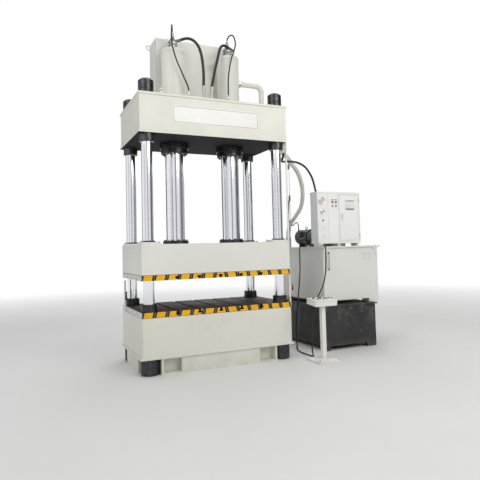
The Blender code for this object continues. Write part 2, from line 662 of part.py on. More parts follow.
def make_crown():
    bm = bmesh.new()
    add_box(bm, (-HALF_WIDTH, -HALF_DEPTH, CROWN_BOTTOM + CROWN_PLATE_THICKNESS - SINK),
            (HALF_WIDTH, HALF_DEPTH, CROWN_TOP - CROWN_PLATE_THICKNESS + SINK))
    crown = finish("crown_frame", bm, "cream_paint")
    reach_x = HALF_WIDTH + CROWN_PLATE_OVERHANG
    reach_y = HALF_DEPTH + CROWN_PLATE_OVERHANG
    for label, low in (("bottom_plate", CROWN_BOTTOM), ("top_plate", CROWN_TOP - CROWN_PLATE_THICKNESS)):
        plate = bmesh.new()
        add_box(plate, (-reach_x, -reach_y, low), (reach_x, reach_y, low + CROWN_PLATE_THICKNESS))
        combine(crown, "UNION", plate, label)
    combine(crown, "DIFFERENCE", column_bores(COLUMN_RADIUS + TOUCH, CROWN_BOTTOM - SINK, CROWN_TOP + SINK),
            "bores")
    barrels = bmesh.new()
    for side in SIDES.values():
        add_turned(barrels, rod_profile(BARREL_RADIUS + TOUCH, CROWN_BOTTOM - SINK, CROWN_TOP + SINK),
                   RAM_SIDES, Matrix.Translation((side * RAM_X, 0, 0)))
    combine(crown, "DIFFERENCE", barrels, "barrel_bores")
    adaptors = bmesh.new()
    for radius, route in TOP_HOSES.values():
        add_adaptor(adaptors, radius, Vector(route[-1]))
    combine(crown, "UNION", adaptors, "adaptors")
    port = bmesh.new()
    add_turned(port, rod_profile(RETURN_PORT_RADIUS, -SINK, RETURN_PORT_LENGTH), FLANGE_SIDES,
               along((1, 0, 0), (HALF_WIDTH, RETURN_PORT_Y, CROWN_BOTTOM + RETURN_PORT_HEIGHT)))
    combine(crown, "UNION", port, "return_port")
    lug = bmesh.new()
    left = -HALF_WIDTH + CROWN_LUG_PLACE[0]
    near = -HALF_DEPTH + CROWN_LUG_PLACE[1]
    add_box(lug, (left, near, CROWN_TOP - SINK),
            (left + CROWN_LUG_SIZE[0], near + CROWN_LUG_SIZE[1], CROWN_TOP + CROWN_LUG_SIZE[2]))
    combine(crown, "UNION", lug, "lug")


def add_adaptor(bm, hose_radius, hose_end):
    """Screwed foot and crimped ferrule that a top hose comes out of."""
    nut, ferrule = hose_radius * 1.45, hose_radius + FERRULE_WALL
    neck = hose_radius * 0.7
    top = hose_end.z - CROWN_TOP - TOUCH
    add_turned(bm, [
        (0, -SINK), (nut, -SINK), (nut, ADAPTOR_NUT_HEIGHT), (neck, ADAPTOR_NUT_HEIGHT),
        (neck, top - FERRULE_LENGTH), (ferrule, top - FERRULE_LENGTH), (ferrule, top), (0, top)],
        FITTING_SIDES, Matrix.Translation((hose_end.x, hose_end.y, CROWN_TOP)))


def make_brass_port():
    bm = bmesh.new()
    top = -TOUCH
    add_turned(bm, [
        (0, -PORT_LENGTH), (PORT_RADIUS, -PORT_LENGTH), (PORT_RADIUS, -PORT_LENGTH * 0.45),
        (PORT_COLLAR_RADIUS, -PORT_LENGTH * 0.40), (PORT_COLLAR_RADIUS, top), (0, top)], FITTING_SIDES)
    finish("brass_port", bm, "brass",
           (HALF_WIDTH - PORT_INSET_X, -(HALF_DEPTH - PORT_INSET_Y), CROWN_BOTTOM))


# Main cylinders

def make_barrel(label, side):
    cap = BARREL_TOP - BARREL_CAP
    bm = bmesh.new()
    add_turned(bm, [
        (0, cap), (BARREL_BORE, cap), (BARREL_BORE, CROWN_BOTTOM), (BARREL_RADIUS, CROWN_BOTTOM),
        (BARREL_RADIUS, BARREL_TOP - BARREL_CHAMFER), (BARREL_RADIUS - BARREL_CHAMFER, BARREL_TOP),
        (0, BARREL_TOP)], RAM_SIDES)
    finish("cylinder_barrel_" + label, bm, "cream_paint", (side * RAM_X, 0, 0))


def make_gland(label, side):
    seat = -TOUCH
    step = seat - GLAND_FLANGE_HEIGHT
    end = step - GLAND_RING_HEIGHT
    bm = bmesh.new()
    add_turned(bm, [
        (RAM_RADIUS + RUN, end), (GLAND_RING_RADIUS - GLAND_CHAMFER, end),
        (GLAND_RING_RADIUS, end + GLAND_CHAMFER), (GLAND_RING_RADIUS, step),
        (GLAND_FLANGE_RADIUS, step), (GLAND_FLANGE_RADIUS, seat), (RAM_RADIUS + RUN, seat)], RAM_SIDES)
    finish("gland_flange_" + label, bm, "black_oxide", (side * RAM_X, 0, CROWN_BOTTOM))


def make_ram(label, side):
    piston = RAM_LENGTH - PISTON_HEIGHT
    bm = bmesh.new()
    add_turned(bm, [
        (0, TOUCH), (RAM_RADIUS, TOUCH), (RAM_RADIUS, piston), (BARREL_BORE - RUN, piston),
        (BARREL_BORE - RUN, RAM_LENGTH), (0, RAM_LENGTH)], RAM_SIDES)
    return finish("ram_" + label, bm, "chrome", (side * RAM_X, 0, SLIDE_TOP))


def make_ram_flange(label, side):
    bm = bmesh.new()
    add_turned(bm, ring_profile(RAM_RADIUS + TOUCH, RAM_FLANGE_RADIUS, TOUCH, TOUCH + RAM_FLANGE_HEIGHT,
                                RAM_FLANGE_CHAMFER), RAM_SIDES)
    return finish("ram_flange_" + label, bm, "black_oxide", (side * RAM_X, 0, SLIDE_TOP))


# Slide

def make_slide():
    bm = bmesh.new()
    add_box(bm, (-HALF_WIDTH, -HALF_DEPTH, SLIDE_BOX_BOTTOM + TOUCH), (HALF_WIDTH, HALF_DEPTH, SLIDE_TOP),
            FRAME_EDGE)
    slide = finish("slide_frame", bm, "cream_paint")
    caps = bmesh.new()
    wipers = bmesh.new()
    outline = rounded_outline(GUIDE_CAP_WIDTH, GUIDE_CAP_DEPTH, GUIDE_CAP_CORNER, 1)
    for name, (side, depth) in CORNERS.items():
        centre = (side * (HALF_WIDTH - GUIDE_CAP_MARGIN - GUIDE_CAP_WIDTH / 2),
                  depth * (HALF_DEPTH - GUIDE_CAP_MARGIN - GUIDE_CAP_DEPTH / 2), SLIDE_TOP)
        add_prism(caps, outline, -SINK, GUIDE_CAP_THICKNESS, Matrix.Translation(centre))
        add_turned(wipers, rod_profile(WIPER_RADIUS, GUIDE_CAP_THICKNESS - SINK,
                                       GUIDE_CAP_THICKNESS + WIPER_HEIGHT), COLUMN_SIDES,
                   Matrix.Translation((*at_corner(name), SLIDE_TOP)))
    combine(slide, "UNION", caps, "guide_caps")
    combine(slide, "UNION", wipers, "wipers")
    top = SLIDE_TOP + GUIDE_CAP_THICKNESS + WIPER_HEIGHT
    combine(slide, "DIFFERENCE", column_bores(COLUMN_RADIUS + RUN, SLIDE_BOX_BOTTOM - SINK, top + SINK),
            "bores")
    dog = bmesh.new()
    near = RAIL_Y + RAIL_RADIUS + DOG_GAP
    high = SLIDE_TOP - DOG_DROP
    add_box(dog, (HALF_WIDTH - SINK, near, high - DOG_SIZE[2]),
            (HALF_WIDTH + DOG_SIZE[0], near + DOG_SIZE[1], high))
    combine(slide, "UNION", dog, "dog")
    return slide


# Prefill tank, valves and elbow pipe

def make_prefill_tank():
    front = BARREL_RADIUS + PREFILL_TANK_GAP
    back = front + PREFILL_TANK_DEPTH
    half = PREFILL_TANK_WIDTH / 2
    top = CROWN_TOP + PREFILL_TANK_HEIGHT
    bm = bmesh.new()
    add_box(bm, (-half, front, CROWN_TOP + TOUCH), (half, back, top), TANK_EDGE)
    tank = finish("prefill_tank", bm, "cream_paint")
    rings = bmesh.new()
    for side in SIDES.values():
        centre = (side * (half + LIFTING_RING_RADIUS - LIFTING_RING_BAR),
                  back - LIFTING_RING_DROP, top - LIFTING_RING_DROP)
        add_ring(rings, centre)
    combine(tank, "UNION", rings, "lifting_rings")


def add_ring(bm, centre, segments=12, sides=4):
    """A lifting ring that lies in the X-Z plane."""
    loops = []
    for k in range(segments):
        turn = 2 * math.pi * k / segments
        loop = []
        for j in range(sides):
            angle = 2 * math.pi * j / sides
            reach = LIFTING_RING_RADIUS + LIFTING_RING_BAR * math.cos(angle)
            loop.append(bm.verts.new(Vector(centre) + Vector(
                (reach * math.cos(turn), LIFTING_RING_BAR * math.sin(angle), reach * math.sin(turn)))))
        loops.append(loop)
    for k in range(segments):
        first, second = loops[k], loops[(k + 1) % segments]
        for j in range(sides):
            after = (j + 1) % sides
            bm.faces.new((first[j], first[after], second[after], second[j]))


def make_prefill_valve(label, side):
    half = VALVE_BLOCK_SIZE / 2
    block_top = VALVE_FOOT_HEIGHT + VALVE_BLOCK_HEIGHT
    place = (side * RAM_X, 0, BARREL_TOP)
    bm = bmesh.new()
    add_box(bm, (-half, -half, VALVE_FOOT_HEIGHT - SINK), (half, half, block_top), CABINET_EDGE)
    valve = finish("prefill_valve_" + label, bm, "valve_steel", place)
    foot = bmesh.new()
    add_turned(foot, rod_profile(VALVE_FOOT_RADIUS, TOUCH, VALVE_FOOT_HEIGHT), FLANGE_SIDES)
    combine(valve, "UNION", foot, "foot", place)
    bonnet = bmesh.new()
    shoulder = block_top + VALVE_BONNET_HEIGHT
    add_turned(bonnet, [
        (0, block_top - SINK), (VALVE_BONNET_RADIUS, block_top - SINK), (VALVE_BONNET_RADIUS, shoulder),
        (VALVE_STEM_RADIUS, shoulder + VALVE_STEM_RADIUS), (VALVE_STEM_RADIUS, VALVE_STEM_TOP),
        (0, VALVE_STEM_TOP)], FITTING_SIDES)
    combine(valve, "UNION", bonnet, "bonnet", place)
    tip, after = TOP_HOSES[VALVE_FERRULES[label]][1][:2]
    direction = Vector(after) - Vector(tip)
    ferrule = bmesh.new()
    add_turned(ferrule, rod_profile(THICK_HOSE_RADIUS + FERRULE_WALL, -VALVE_FERRULE_LENGTH, -TOUCH),
               FITTING_SIDES, along(direction, tip))
    combine(valve, "UNION", ferrule, "ferrule")


def make_elbow_pipe():
    """Bent pipe from the side of the right barrel down to a flange on the crown."""
    start = RAM_X + BARREL_RADIUS
    end = HALF_WIDTH - ELBOW_INSET
    axis_z = CROWN_TOP + ELBOW_HEIGHT
    path = [(start + TOUCH, axis_z, 0.0)]
    for step in range(ELBOW_BEND_STEPS + 1):
        angle = math.pi / 2 * step / ELBOW_BEND_STEPS
        path.append((end - ELBOW_BEND + ELBOW_BEND * math.sin(angle),
                     axis_z - ELBOW_BEND + ELBOW_BEND * math.cos(angle), angle))
    path.append((end, CROWN_TOP + TOUCH, math.pi / 2))
    bm = bmesh.new()
    rings = []
    for x, z, angle in path:
        ring = []
        for k in range(FITTING_SIDES):
            turn = 2 * math.pi * (k + 0.5) / FITTING_SIDES
            lift = ELBOW_RADIUS * math.cos(turn)
            ring.append(bm.verts.new((x + lift * math.sin(angle), ELBOW_RADIUS * math.sin(turn),
                                      z + lift * math.cos(angle))))
        rings.append(ring)
    for first, second in zip(rings, rings[1:]):
        for k in range(FITTING_SIDES):
            after = (k + 1) % FITTING_SIDES
            bm.faces.new((first[k], first[after], second[after], second[k]))
    bm.faces.new(rings[0])
    bm.faces.new(rings[-1])
    pipe = finish("elbow_pipe", bm, "cream_paint")
    flange = bmesh.new()
    add_turned(flange, rod_profile(ELBOW_FLANGE_RADIUS, CROWN_TOP + TOUCH, CROWN_TOP + ELBOW_FLANGE_HEIGHT),
               FLANGE_SIDES, Matrix.Translation((end, 0, 0)))
    combine(pipe, "UNION", flange, "flange")
    collar = bmesh.new()
    hug = start - (BARREL_RADIUS - math.sqrt(BARREL_RADIUS ** 2 - ELBOW_COLLAR_RADIUS ** 2))
    add_turned(collar, rod_profile(ELBOW_COLLAR_RADIUS, hug - SINK, start + ELBOW_COLLAR_LENGTH),
               FLANGE_SIDES, along((1, 0, 0), (0, 0, axis_z)))
    combine(pipe, "UNION", collar, "collar")
    saddle = bmesh.new()
    add_turned(saddle, rod_profile(BARREL_RADIUS + TOUCH, axis_z - 2 * ELBOW_COLLAR_RADIUS,
                                   axis_z + 2 * ELBOW_COLLAR_RADIUS), RAM_SIDES,
               Matrix.Translation((RAM_X, 0, 0)))
    combine(pipe, "DIFFERENCE", saddle, "saddle")


# Limit rail

def make_limit_rail():
    low = TABLE_TOP - PLATE_THICKNESS / 2 - RAIL_END
    high = CROWN_BOTTOM + CROWN_PLATE_THICKNESS + RAIL_CLAMP_HEIGHT + RAIL_END
    bm = bmesh.new()
    add_turned(bm, rod_profile(RAIL_RADIUS, low, high), FITTING_SIDES,
               Matrix.Translation((RAIL_X, RAIL_Y, 0)))
    rail = finish("limit_rail", bm, "white_paint")
    clamps = bmesh.new()
    for base in (TABLE_TOP - PLATE_THICKNESS / 2, CROWN_BOTTOM + CROWN_PLATE_THICKNESS + RAIL_END / 2):
        add_box(clamps, (HALF_WIDTH + TOUCH, RAIL_Y - RAIL_CLAMP_DEPTH / 2, base - RAIL_CLAMP_HEIGHT / 2),
                (RAIL_X + RAIL_RADIUS / 2, RAIL_Y + RAIL_CLAMP_DEPTH / 2, base + RAIL_CLAMP_HEIGHT / 2))
    combine(rail, "UNION", clamps, "clamps")
    switches = bmesh.new()
    for height in SWITCH_HEIGHTS:
        near = RAIL_X + RAIL_RADIUS / 2
        add_box(switches, (near, RAIL_Y - SWITCH_SIZE[1] / 2, height - SWITCH_SIZE[2] / 2),
                (near + SWITCH_SIZE[0], RAIL_Y + SWITCH_SIZE[1] / 2, height + SWITCH_SIZE[2] / 2))
    combine(rail, "UNION", switches, "switches")


# Power unit

def make_lower_tank():
    left, front = LOWER_TANK_LEFT, LOWER_TANK_FRONT
    right, back = left + LOWER_TANK_SIZE[0], front + LOWER_TANK_SIZE[1]
    over = LOWER_TANK_PLATE_OVERHANG
    bm = bmesh.new()
    add_box(bm, (left, front, 0), (right, back, LOWER_TANK_SIZE[2] + SINK))
    tank = finish("lower_tank", bm, "charcoal_paint")
    plate = bmesh.new()
    add_box(plate, (left - over, front - over, LOWER_TANK_SIZE[2]),
            (right + over, back + over, LOWER_TANK_TOP))
    combine(tank, "UNION", plate, "top_plate")
    for label, low, high in (
            ("gap_through", (left + LOWER_TANK_FOOT_LEFT, front - SINK),
             (right - LOWER_TANK_FOOT_RIGHT, back + SINK)),
            ("gap_across", (left - SINK, front + LOWER_TANK_FOOT_LEFT),
             (right + SINK, back - LOWER_TANK_FOOT_LEFT))):
        gap = bmesh.new()
        add_box(gap, (*low, -SINK), (*high, LOWER_TANK_FOOT_HEIGHT))
        combine(tank, "DIFFERENCE", gap, label)


def make_oil_tank():
    left, front = OIL_TANK_LEFT, OIL_TANK_FRONT
    right, back = left + OIL_TANK_SIZE[0], front + OIL_TANK_SIZE[1]
    under = OIL_TANK_TOP - OIL_TANK_PLATE
    over = OIL_TANK_PLATE_OVERHANG
    bm = bmesh.new()
    add_box(bm, (left, front, LOWER_TANK_TOP + TOUCH), (right, back, under + SINK))
    tank = finish("oil_tank", bm, "white_paint")
    plate = bmesh.new()
    add_box(plate, (left - over, front - over, under), (right + over, back + over, OIL_TANK_TOP))
    combine(tank, "UNION", plate, "top_plate")
    foot = OIL_TANK_FOOT_WIDTH
    for label, low, high in (
            ("gap_through", (left + foot, front - SINK), (right - foot, back + SINK)),
            ("gap_across", (left - SINK, front + foot), (right + SINK, back - foot))):
        gap = bmesh.new()
        add_box(gap, (*low, LOWER_TANK_TOP - SINK), (*high, LOWER_TANK_TOP + OIL_TANK_FOOT_HEIGHT))
        combine(tank, "DIFFERENCE", gap, label)
    triangle = [(0, SINK), (GUSSET_WIDTH, SINK), (GUSSET_WIDTH, -GUSSET_HEIGHT)]
    reach = GUSSET_WIDTH + GUSSET_INSET
    faces = (
        ((left + reach, front, under), (-1, 0, 0), (0, -1, 0)),
        ((right - reach, front, under), (1, 0, 0), (0, -1, 0)),
        ((left, front + reach, under), (0, -1, 0), (-1, 0, 0)),
        ((left, back - reach, under), (0, 1, 0), (-1, 0, 0)),
        ((right, front + reach, under), (0, -1, 0), (1, 0, 0)),
        ((right, back - reach, under), (0, 1, 0), (1, 0, 0)),
        ((left + reach, back, under), (-1, 0, 0), (0, 1, 0)),
        ((right - reach, back, under), (1, 0, 0), (0, 1, 0)))
    gussets = bmesh.new()
    for origin, run, out in faces:
        frame = Matrix((run, (0, 0, 1), out)).transposed().to_4x4()
        add_prism(gussets, triangle, -SINK, GUSSET_THICKNESS, Matrix.Translation(origin) @ frame)
    combine(tank, "UNION", gussets, "gussets")
    sockets = bmesh.new()
    places = ((RETURN_HOSE_ROUTE[-1][:2], RETURN_SOCKET_RADIUS, RETURN_SOCKET_HEIGHT),
              (PANEL_CABLE_ROUTE[0][:2], CABLE_GLAND_RADIUS, CABLE_GLAND_LENGTH),
              (FLOOR_CABLE_ROUTE[0][:2], CABLE_GLAND_RADIUS, CABLE_GLAND_LENGTH))
    for place, radius, height in places:
        add_turned(sockets, rod_profile(radius, -SINK, height), FITTING_SIDES,
                   Matrix.Translation((*place, OIL_TANK_TOP)))
    combine(tank, "UNION", sockets, "sockets")


def make_filler():
    bm = bmesh.new()
    neck = FILLER_RADIUS * 0.72
    add_turned(bm, [
        (0, TOUCH), (FILLER_RADIUS * 1.2, TOUCH), (FILLER_RADIUS * 1.2, FILLER_HEIGHT * 0.12),
        (neck, FILLER_HEIGHT * 0.12), (neck, FILLER_HEIGHT * 0.45), (FILLER_RADIUS, FILLER_HEIGHT * 0.45),
        (FILLER_RADIUS, FILLER_HEIGHT), (0, FILLER_HEIGHT)], FLANGE_SIDES)
    finish("filler_breather", bm, "gauge_chrome",
           (OIL_TANK_LEFT + FILLER_PLACE[0], OIL_TANK_FRONT + FILLER_PLACE[1], OIL_TANK_TOP))


def make_level_gauge():
    width, depth, height = GAUGE_SIZE
    stand_up = Matrix.Rotation(math.pi / 2, 4, "X")
    place = (OIL_TANK_LEFT + GAUGE_INSET_X, OIL_TANK_FRONT - TOUCH, OIL_TANK_TOP - GAUGE_DROP)
    bm = bmesh.new()
    add_prism(bm, rounded_outline(width, height, width / 2 - 0.001, 4), 0, depth, stand_up)
    gauge = finish("level_gauge", bm, "gauge_chrome", place)
    window = bmesh.new()
    add_box(window, (-GAUGE_WINDOW_WIDTH / 2, -depth - SINK, -height / 2 + GAUGE_WINDOW_MARGIN),
            (GAUGE_WINDOW_WIDTH / 2, -depth + GAUGE_WINDOW_DEPTH, height / 2 - GAUGE_WINDOW_MARGIN))
    combine(gauge, "DIFFERENCE", window, "window", place)


def on_cabinet(place):
    """A point on the cabinet's front, from its top left corner."""
    return CABINET_LEFT + place[0], CABINET_FRONT, CABINET_TOP - place[1]


def make_cabinet():
    width, depth, height = CABINET_SIZE
    right, back = CABINET_LEFT + width, CABINET_FRONT + depth
    bm = bmesh.new()
    add_box(bm, (CABINET_LEFT, CABINET_FRONT, CABINET_BOTTOM), (right, back, CABINET_TOP), CABINET_EDGE)
    cabinet = finish("cabinet", bm, "white_paint")
    feet = bmesh.new()
    margin = CABINET_WALL
    middle = (CABINET_LEFT + right - CABINET_FOOT_WIDTH) / 2
    for x in (CABINET_LEFT + margin, middle, right - margin - CABINET_FOOT_WIDTH):
        add_box(feet, (x, CABINET_FRONT + margin, OIL_TANK_TOP + TOUCH),
                (x + CABINET_FOOT_WIDTH, back - margin, CABINET_BOTTOM + SINK))
    combine(cabinet, "UNION", feet, "feet")

    door_left, door_bottom = DOOR_RIGHT - DOOR_SIZE[0], DOOR_TOP - DOOR_SIZE[2]
    rebate = bmesh.new()
    add_box(rebate, (door_left - DOOR_GAP, CABINET_FRONT - SINK, door_bottom - DOOR_GAP),
            (DOOR_RIGHT + DOOR_GAP, CABINET_FRONT + DOOR_SIZE[1] + TOUCH, DOOR_TOP + DOOR_GAP))
    combine(cabinet, "DIFFERENCE", rebate, "rebate")
    room = bmesh.new()
    add_box(room, (door_left + CABINET_WALL, CABINET_FRONT, door_bottom + CABINET_WALL),
            (DOOR_RIGHT - CABINET_WALL, back - CABINET_WALL / 2, DOOR_TOP - CABINET_WALL))
    combine(cabinet, "DIFFERENCE", room, "room")

    dials = bmesh.new()
    for x, z, radius in (LARGE_GAUGE, SMALL_GAUGE):
        add_turned(dials, [
            (0, -SINK), (radius, -SINK), (radius, DIAL_DEPTH), (radius - DIAL_RIM, DIAL_DEPTH),
            (radius - DIAL_RIM, DIAL_DEPTH - DIAL_SINK), (0, DIAL_DEPTH - DIAL_SINK)], FLANGE_SIDES,
            along((0, -1, 0), on_cabinet((x, z))))
    x, z, radius = KEY_SWITCH
    add_turned(dials, rod_profile(radius, -SINK, DIAL_DEPTH / 2), FITTING_SIDES,
               along((0, -1, 0), on_cabinet((x, z))))
    combine(cabinet, "UNION", dials, "dials")
    bores = bmesh.new()
    for place in RED_BUTTON_PLACES:
        add_turned(bores, rod_profile(CONTROL_STEM_RADIUS + TOUCH, -CONTROL_BORE_DEPTH, SINK), FITTING_SIDES,
                   along((0, -1, 0), on_cabinet(place)))
    combine(cabinet, "DIFFERENCE", bores, "button_bores")


def button_profile(stem, lift, radius, height):
    """Push button or knob: stem in its bore, cap above the face by its lift."""
    chamfer = height * 0.25
    top = lift + height
    return [(0, -CONTROL_STEM_LENGTH), (stem, -CONTROL_STEM_LENGTH), (stem, lift), (radius, lift),
            (radius, top - chamfer), (radius - chamfer, top), (0, top)]


def make_cabinet_buttons():
    for label, place in zip(SIDES, RED_BUTTON_PLACES):
        bm = bmesh.new()
        add_turned(bm, button_profile(CONTROL_STEM_RADIUS, CONTROL_LIFT, RED_BUTTON_RADIUS,
                                      RED_BUTTON_HEIGHT), FITTING_SIDES)
        turn = along((0, -1, 0), (0, 0, 0)).to_euler()
        finish("cabinet_button_" + label, bm, "red_plastic", on_cabinet(place), turn)


def make_door():
    width, depth, height = DOOR_SIZE
    hinge = (DOOR_RIGHT, CABINET_FRONT, DOOR_TOP)
    bm = bmesh.new()
    add_box(bm, (-width, 0, -height), (0, depth, 0))
    door = finish("cabinet_door", bm, "white_paint", hinge)
    screen = bmesh.new()
    x, z = SCREEN_CENTRE[0] - width, -SCREEN_CENTRE[1]
    add_box(screen, (x - SCREEN_SIZE[0] / 2, -SCREEN_SIZE[1], z - SCREEN_SIZE[2] / 2),
            (x + SCREEN_SIZE[0] / 2, SINK, z + SCREEN_SIZE[2] / 2), SCREEN_SIZE[1] / 4)
    combine(door, "UNION", screen, "screen", hinge)

    pivot = (DOOR_RIGHT - width + HANDLE_CENTRE[0], CABINET_FRONT, DOOR_TOP - HANDLE_CENTRE[1])
    bm = bmesh.new()
    out = -HANDLE_NECK - TOUCH
    add_box(bm, (-HANDLE_SIZE[0] / 2, out - HANDLE_SIZE[1], -HANDLE_SIZE[2] + HANDLE_SIZE[0] / 2),
            (HANDLE_SIZE[0] / 2, out, HANDLE_SIZE[0] / 2), CABINET_EDGE)
    handle = finish("door_handle", bm, "gauge_chrome", pivot)
    neck = bmesh.new()
    add_turned(neck, rod_profile(HANDLE_NECK_RADIUS, TOUCH, HANDLE_NECK + SINK), FITTING_SIDES,
               along((0, -1, 0), (0, 0, 0)))
    combine(handle, "UNION", neck, "neck", pivot)


def make_motor_set():
    axis = (PUMP_AXIS_X, 0, PUMP_AXIS_Z)
    foot_low = OIL_TANK_TOP + TOUCH
    pump = bmesh.new()
    eye = PUMP_FRONT_Y - 0.030
    bell_end = MOTOR_START_Y - TOUCH
    add_turned(pump, [
        (0, eye), (PUMP_EYE_RADIUS, eye), (PUMP_EYE_RADIUS, PUMP_FRONT_Y), (PUMP_RADIUS, PUMP_FRONT_Y),
        (PUMP_RADIUS, BELL_START_Y), (BELL_RADIUS, bell_end - 0.02), (BELL_RADIUS, bell_end),
        (0, bell_end)], FLANGE_SIDES, along_y(axis))
    pump = finish("hydraulic_pump", pump, "motor_paint")
    foot = bmesh.new()
    add_box(foot, (PUMP_AXIS_X - MOTOR_FOOT_WIDTH / 2, BELL_START_Y, foot_low),
            (PUMP_AXIS_X + MOTOR_FOOT_WIDTH / 2, BELL_START_Y + 0.030, PUMP_AXIS_Z))
    combine(pump, "UNION", foot, "foot")

    fins_from, cover_from = MOTOR_START_Y + 0.040, MOTOR_START_Y + MOTOR_LENGTH - MOTOR_COVER
    motor = bmesh.new()
    outline = []
    for k in range(MOTOR_FIN_COUNT):
        for offset, radius in ((0.0, MOTOR_RADIUS), (0.35, MOTOR_RADIUS), (0.5, MOTOR_RADIUS + MOTOR_FIN),
                               (0.85, MOTOR_RADIUS + MOTOR_FIN)):
            angle = 2 * math.pi * (k + offset) / MOTOR_FIN_COUNT
            outline.append((radius * math.cos(angle), radius * math.sin(angle)))
    add_prism(motor, outline, fins_from, cover_from, along_y(axis))
    motor = finish("pump_motor", motor, "motor_paint")
    ends = bmesh.new()
    shell = MOTOR_RADIUS + MOTOR_FIN + 0.004
    end = MOTOR_START_Y + MOTOR_LENGTH
    add_turned(ends, rod_profile(shell, MOTOR_START_Y, fins_from + SINK), FLANGE_SIDES, along_y(axis))
    add_turned(ends, rod_profile(shell, cover_from - SINK, end, 0.012), FLANGE_SIDES, along_y(axis))
    combine(motor, "UNION", ends, "end_shields")
    feet = bmesh.new()
    for y in (fins_from + 0.020, cover_from - 0.055):
        add_box(feet, (PUMP_AXIS_X - MOTOR_FOOT_WIDTH / 2, y, foot_low),
                (PUMP_AXIS_X + MOTOR_FOOT_WIDTH / 2, y + 0.035, PUMP_AXIS_Z - MOTOR_RADIUS * 0.6))
    combine(motor, "UNION", feet, "feet")
    box = bmesh.new()
    middle = (fins_from + cover_from) / 2
    left = PUMP_AXIS_X - MOTOR_RADIUS - MOTOR_BOX[0]
    add_box(box, (left, middle - MOTOR_BOX[1] / 2, PUMP_AXIS_Z), (PUMP_AXIS_X - MOTOR_RADIUS * 0.7,
            middle + MOTOR_BOX[1] / 2, PUMP_AXIS_Z + MOTOR_BOX[2]), CABINET_EDGE)
    combine(motor, "UNION", box, "terminal_box")
    gland = bmesh.new()
    x, y, z = LIMIT_CABLE_ROUTE[-1]
    base = PUMP_AXIS_Z + MOTOR_BOX[2] - SINK
    add_turned(gland, rod_profile(LIMIT_CABLE_RADIUS * 1.6, base, z - TOUCH), FITTING_SIDES,
               Matrix.Translation((x, y, 0)))
    combine(motor, "UNION", gland, "cable_gland")


def make_manifold():
    width, depth, height = MANIFOLD_SIZE
    left, front = OIL_TANK_LEFT + MANIFOLD_INSET_X, OIL_TANK_FRONT + MANIFOLD_START
    top = OIL_TANK_TOP + height
    bm = bmesh.new()
    add_box(bm, (left, front, OIL_TANK_TOP + TOUCH), (left + width, front + depth, top), CABINET_EDGE)
    manifold = finish("valve_manifold", bm, "valve_steel")
    port = bmesh.new()
    x, y, z = PRESSURE_HOSE_ROUTE[-1]
    add_turned(port, rod_profile(MANIFOLD_PORT_RADIUS, top - SINK, z - TOUCH), FITTING_SIDES,
               Matrix.Translation((x, y, 0)))
    combine(manifold, "UNION", port, "port")
    bodies, solenoids = bmesh.new(), bmesh.new()
    pitch = (width - 0.100) / SOLENOID_COUNT
    for k in range(SOLENOID_COUNT):
        x = left + 0.100 + pitch * (k + 0.5)
        y = front + depth / 2
        add_box(bodies, (x - VALVE_BODY_SIZE[0] / 2, y - VALVE_BODY_SIZE[1] / 2, top - SINK),
                (x + VALVE_BODY_SIZE[0] / 2, y + VALVE_BODY_SIZE[1] / 2, top + VALVE_BODY_SIZE[2]))
        add_turned(solenoids, rod_profile(SOLENOID_RADIUS, -SINK, SOLENOID_RADIUS * 3, 0.004), FITTING_SIDES,
                   along((0, -1, 0), (x, y - VALVE_BODY_SIZE[1] / 2, top + SOLENOID_HEIGHT)))
    combine(manifold, "UNION", bodies, "valve_bodies")
    combine(manifold, "UNION", solenoids, "solenoids")


# Operator stand

def console_frame():
    """Frame on the console's tilted face, at its middle."""
    return (Matrix.Translation((*STAND_CENTRE, CONSOLE_HEIGHT))
            @ Matrix.Rotation(CONSOLE_TILT, 4, "X"))


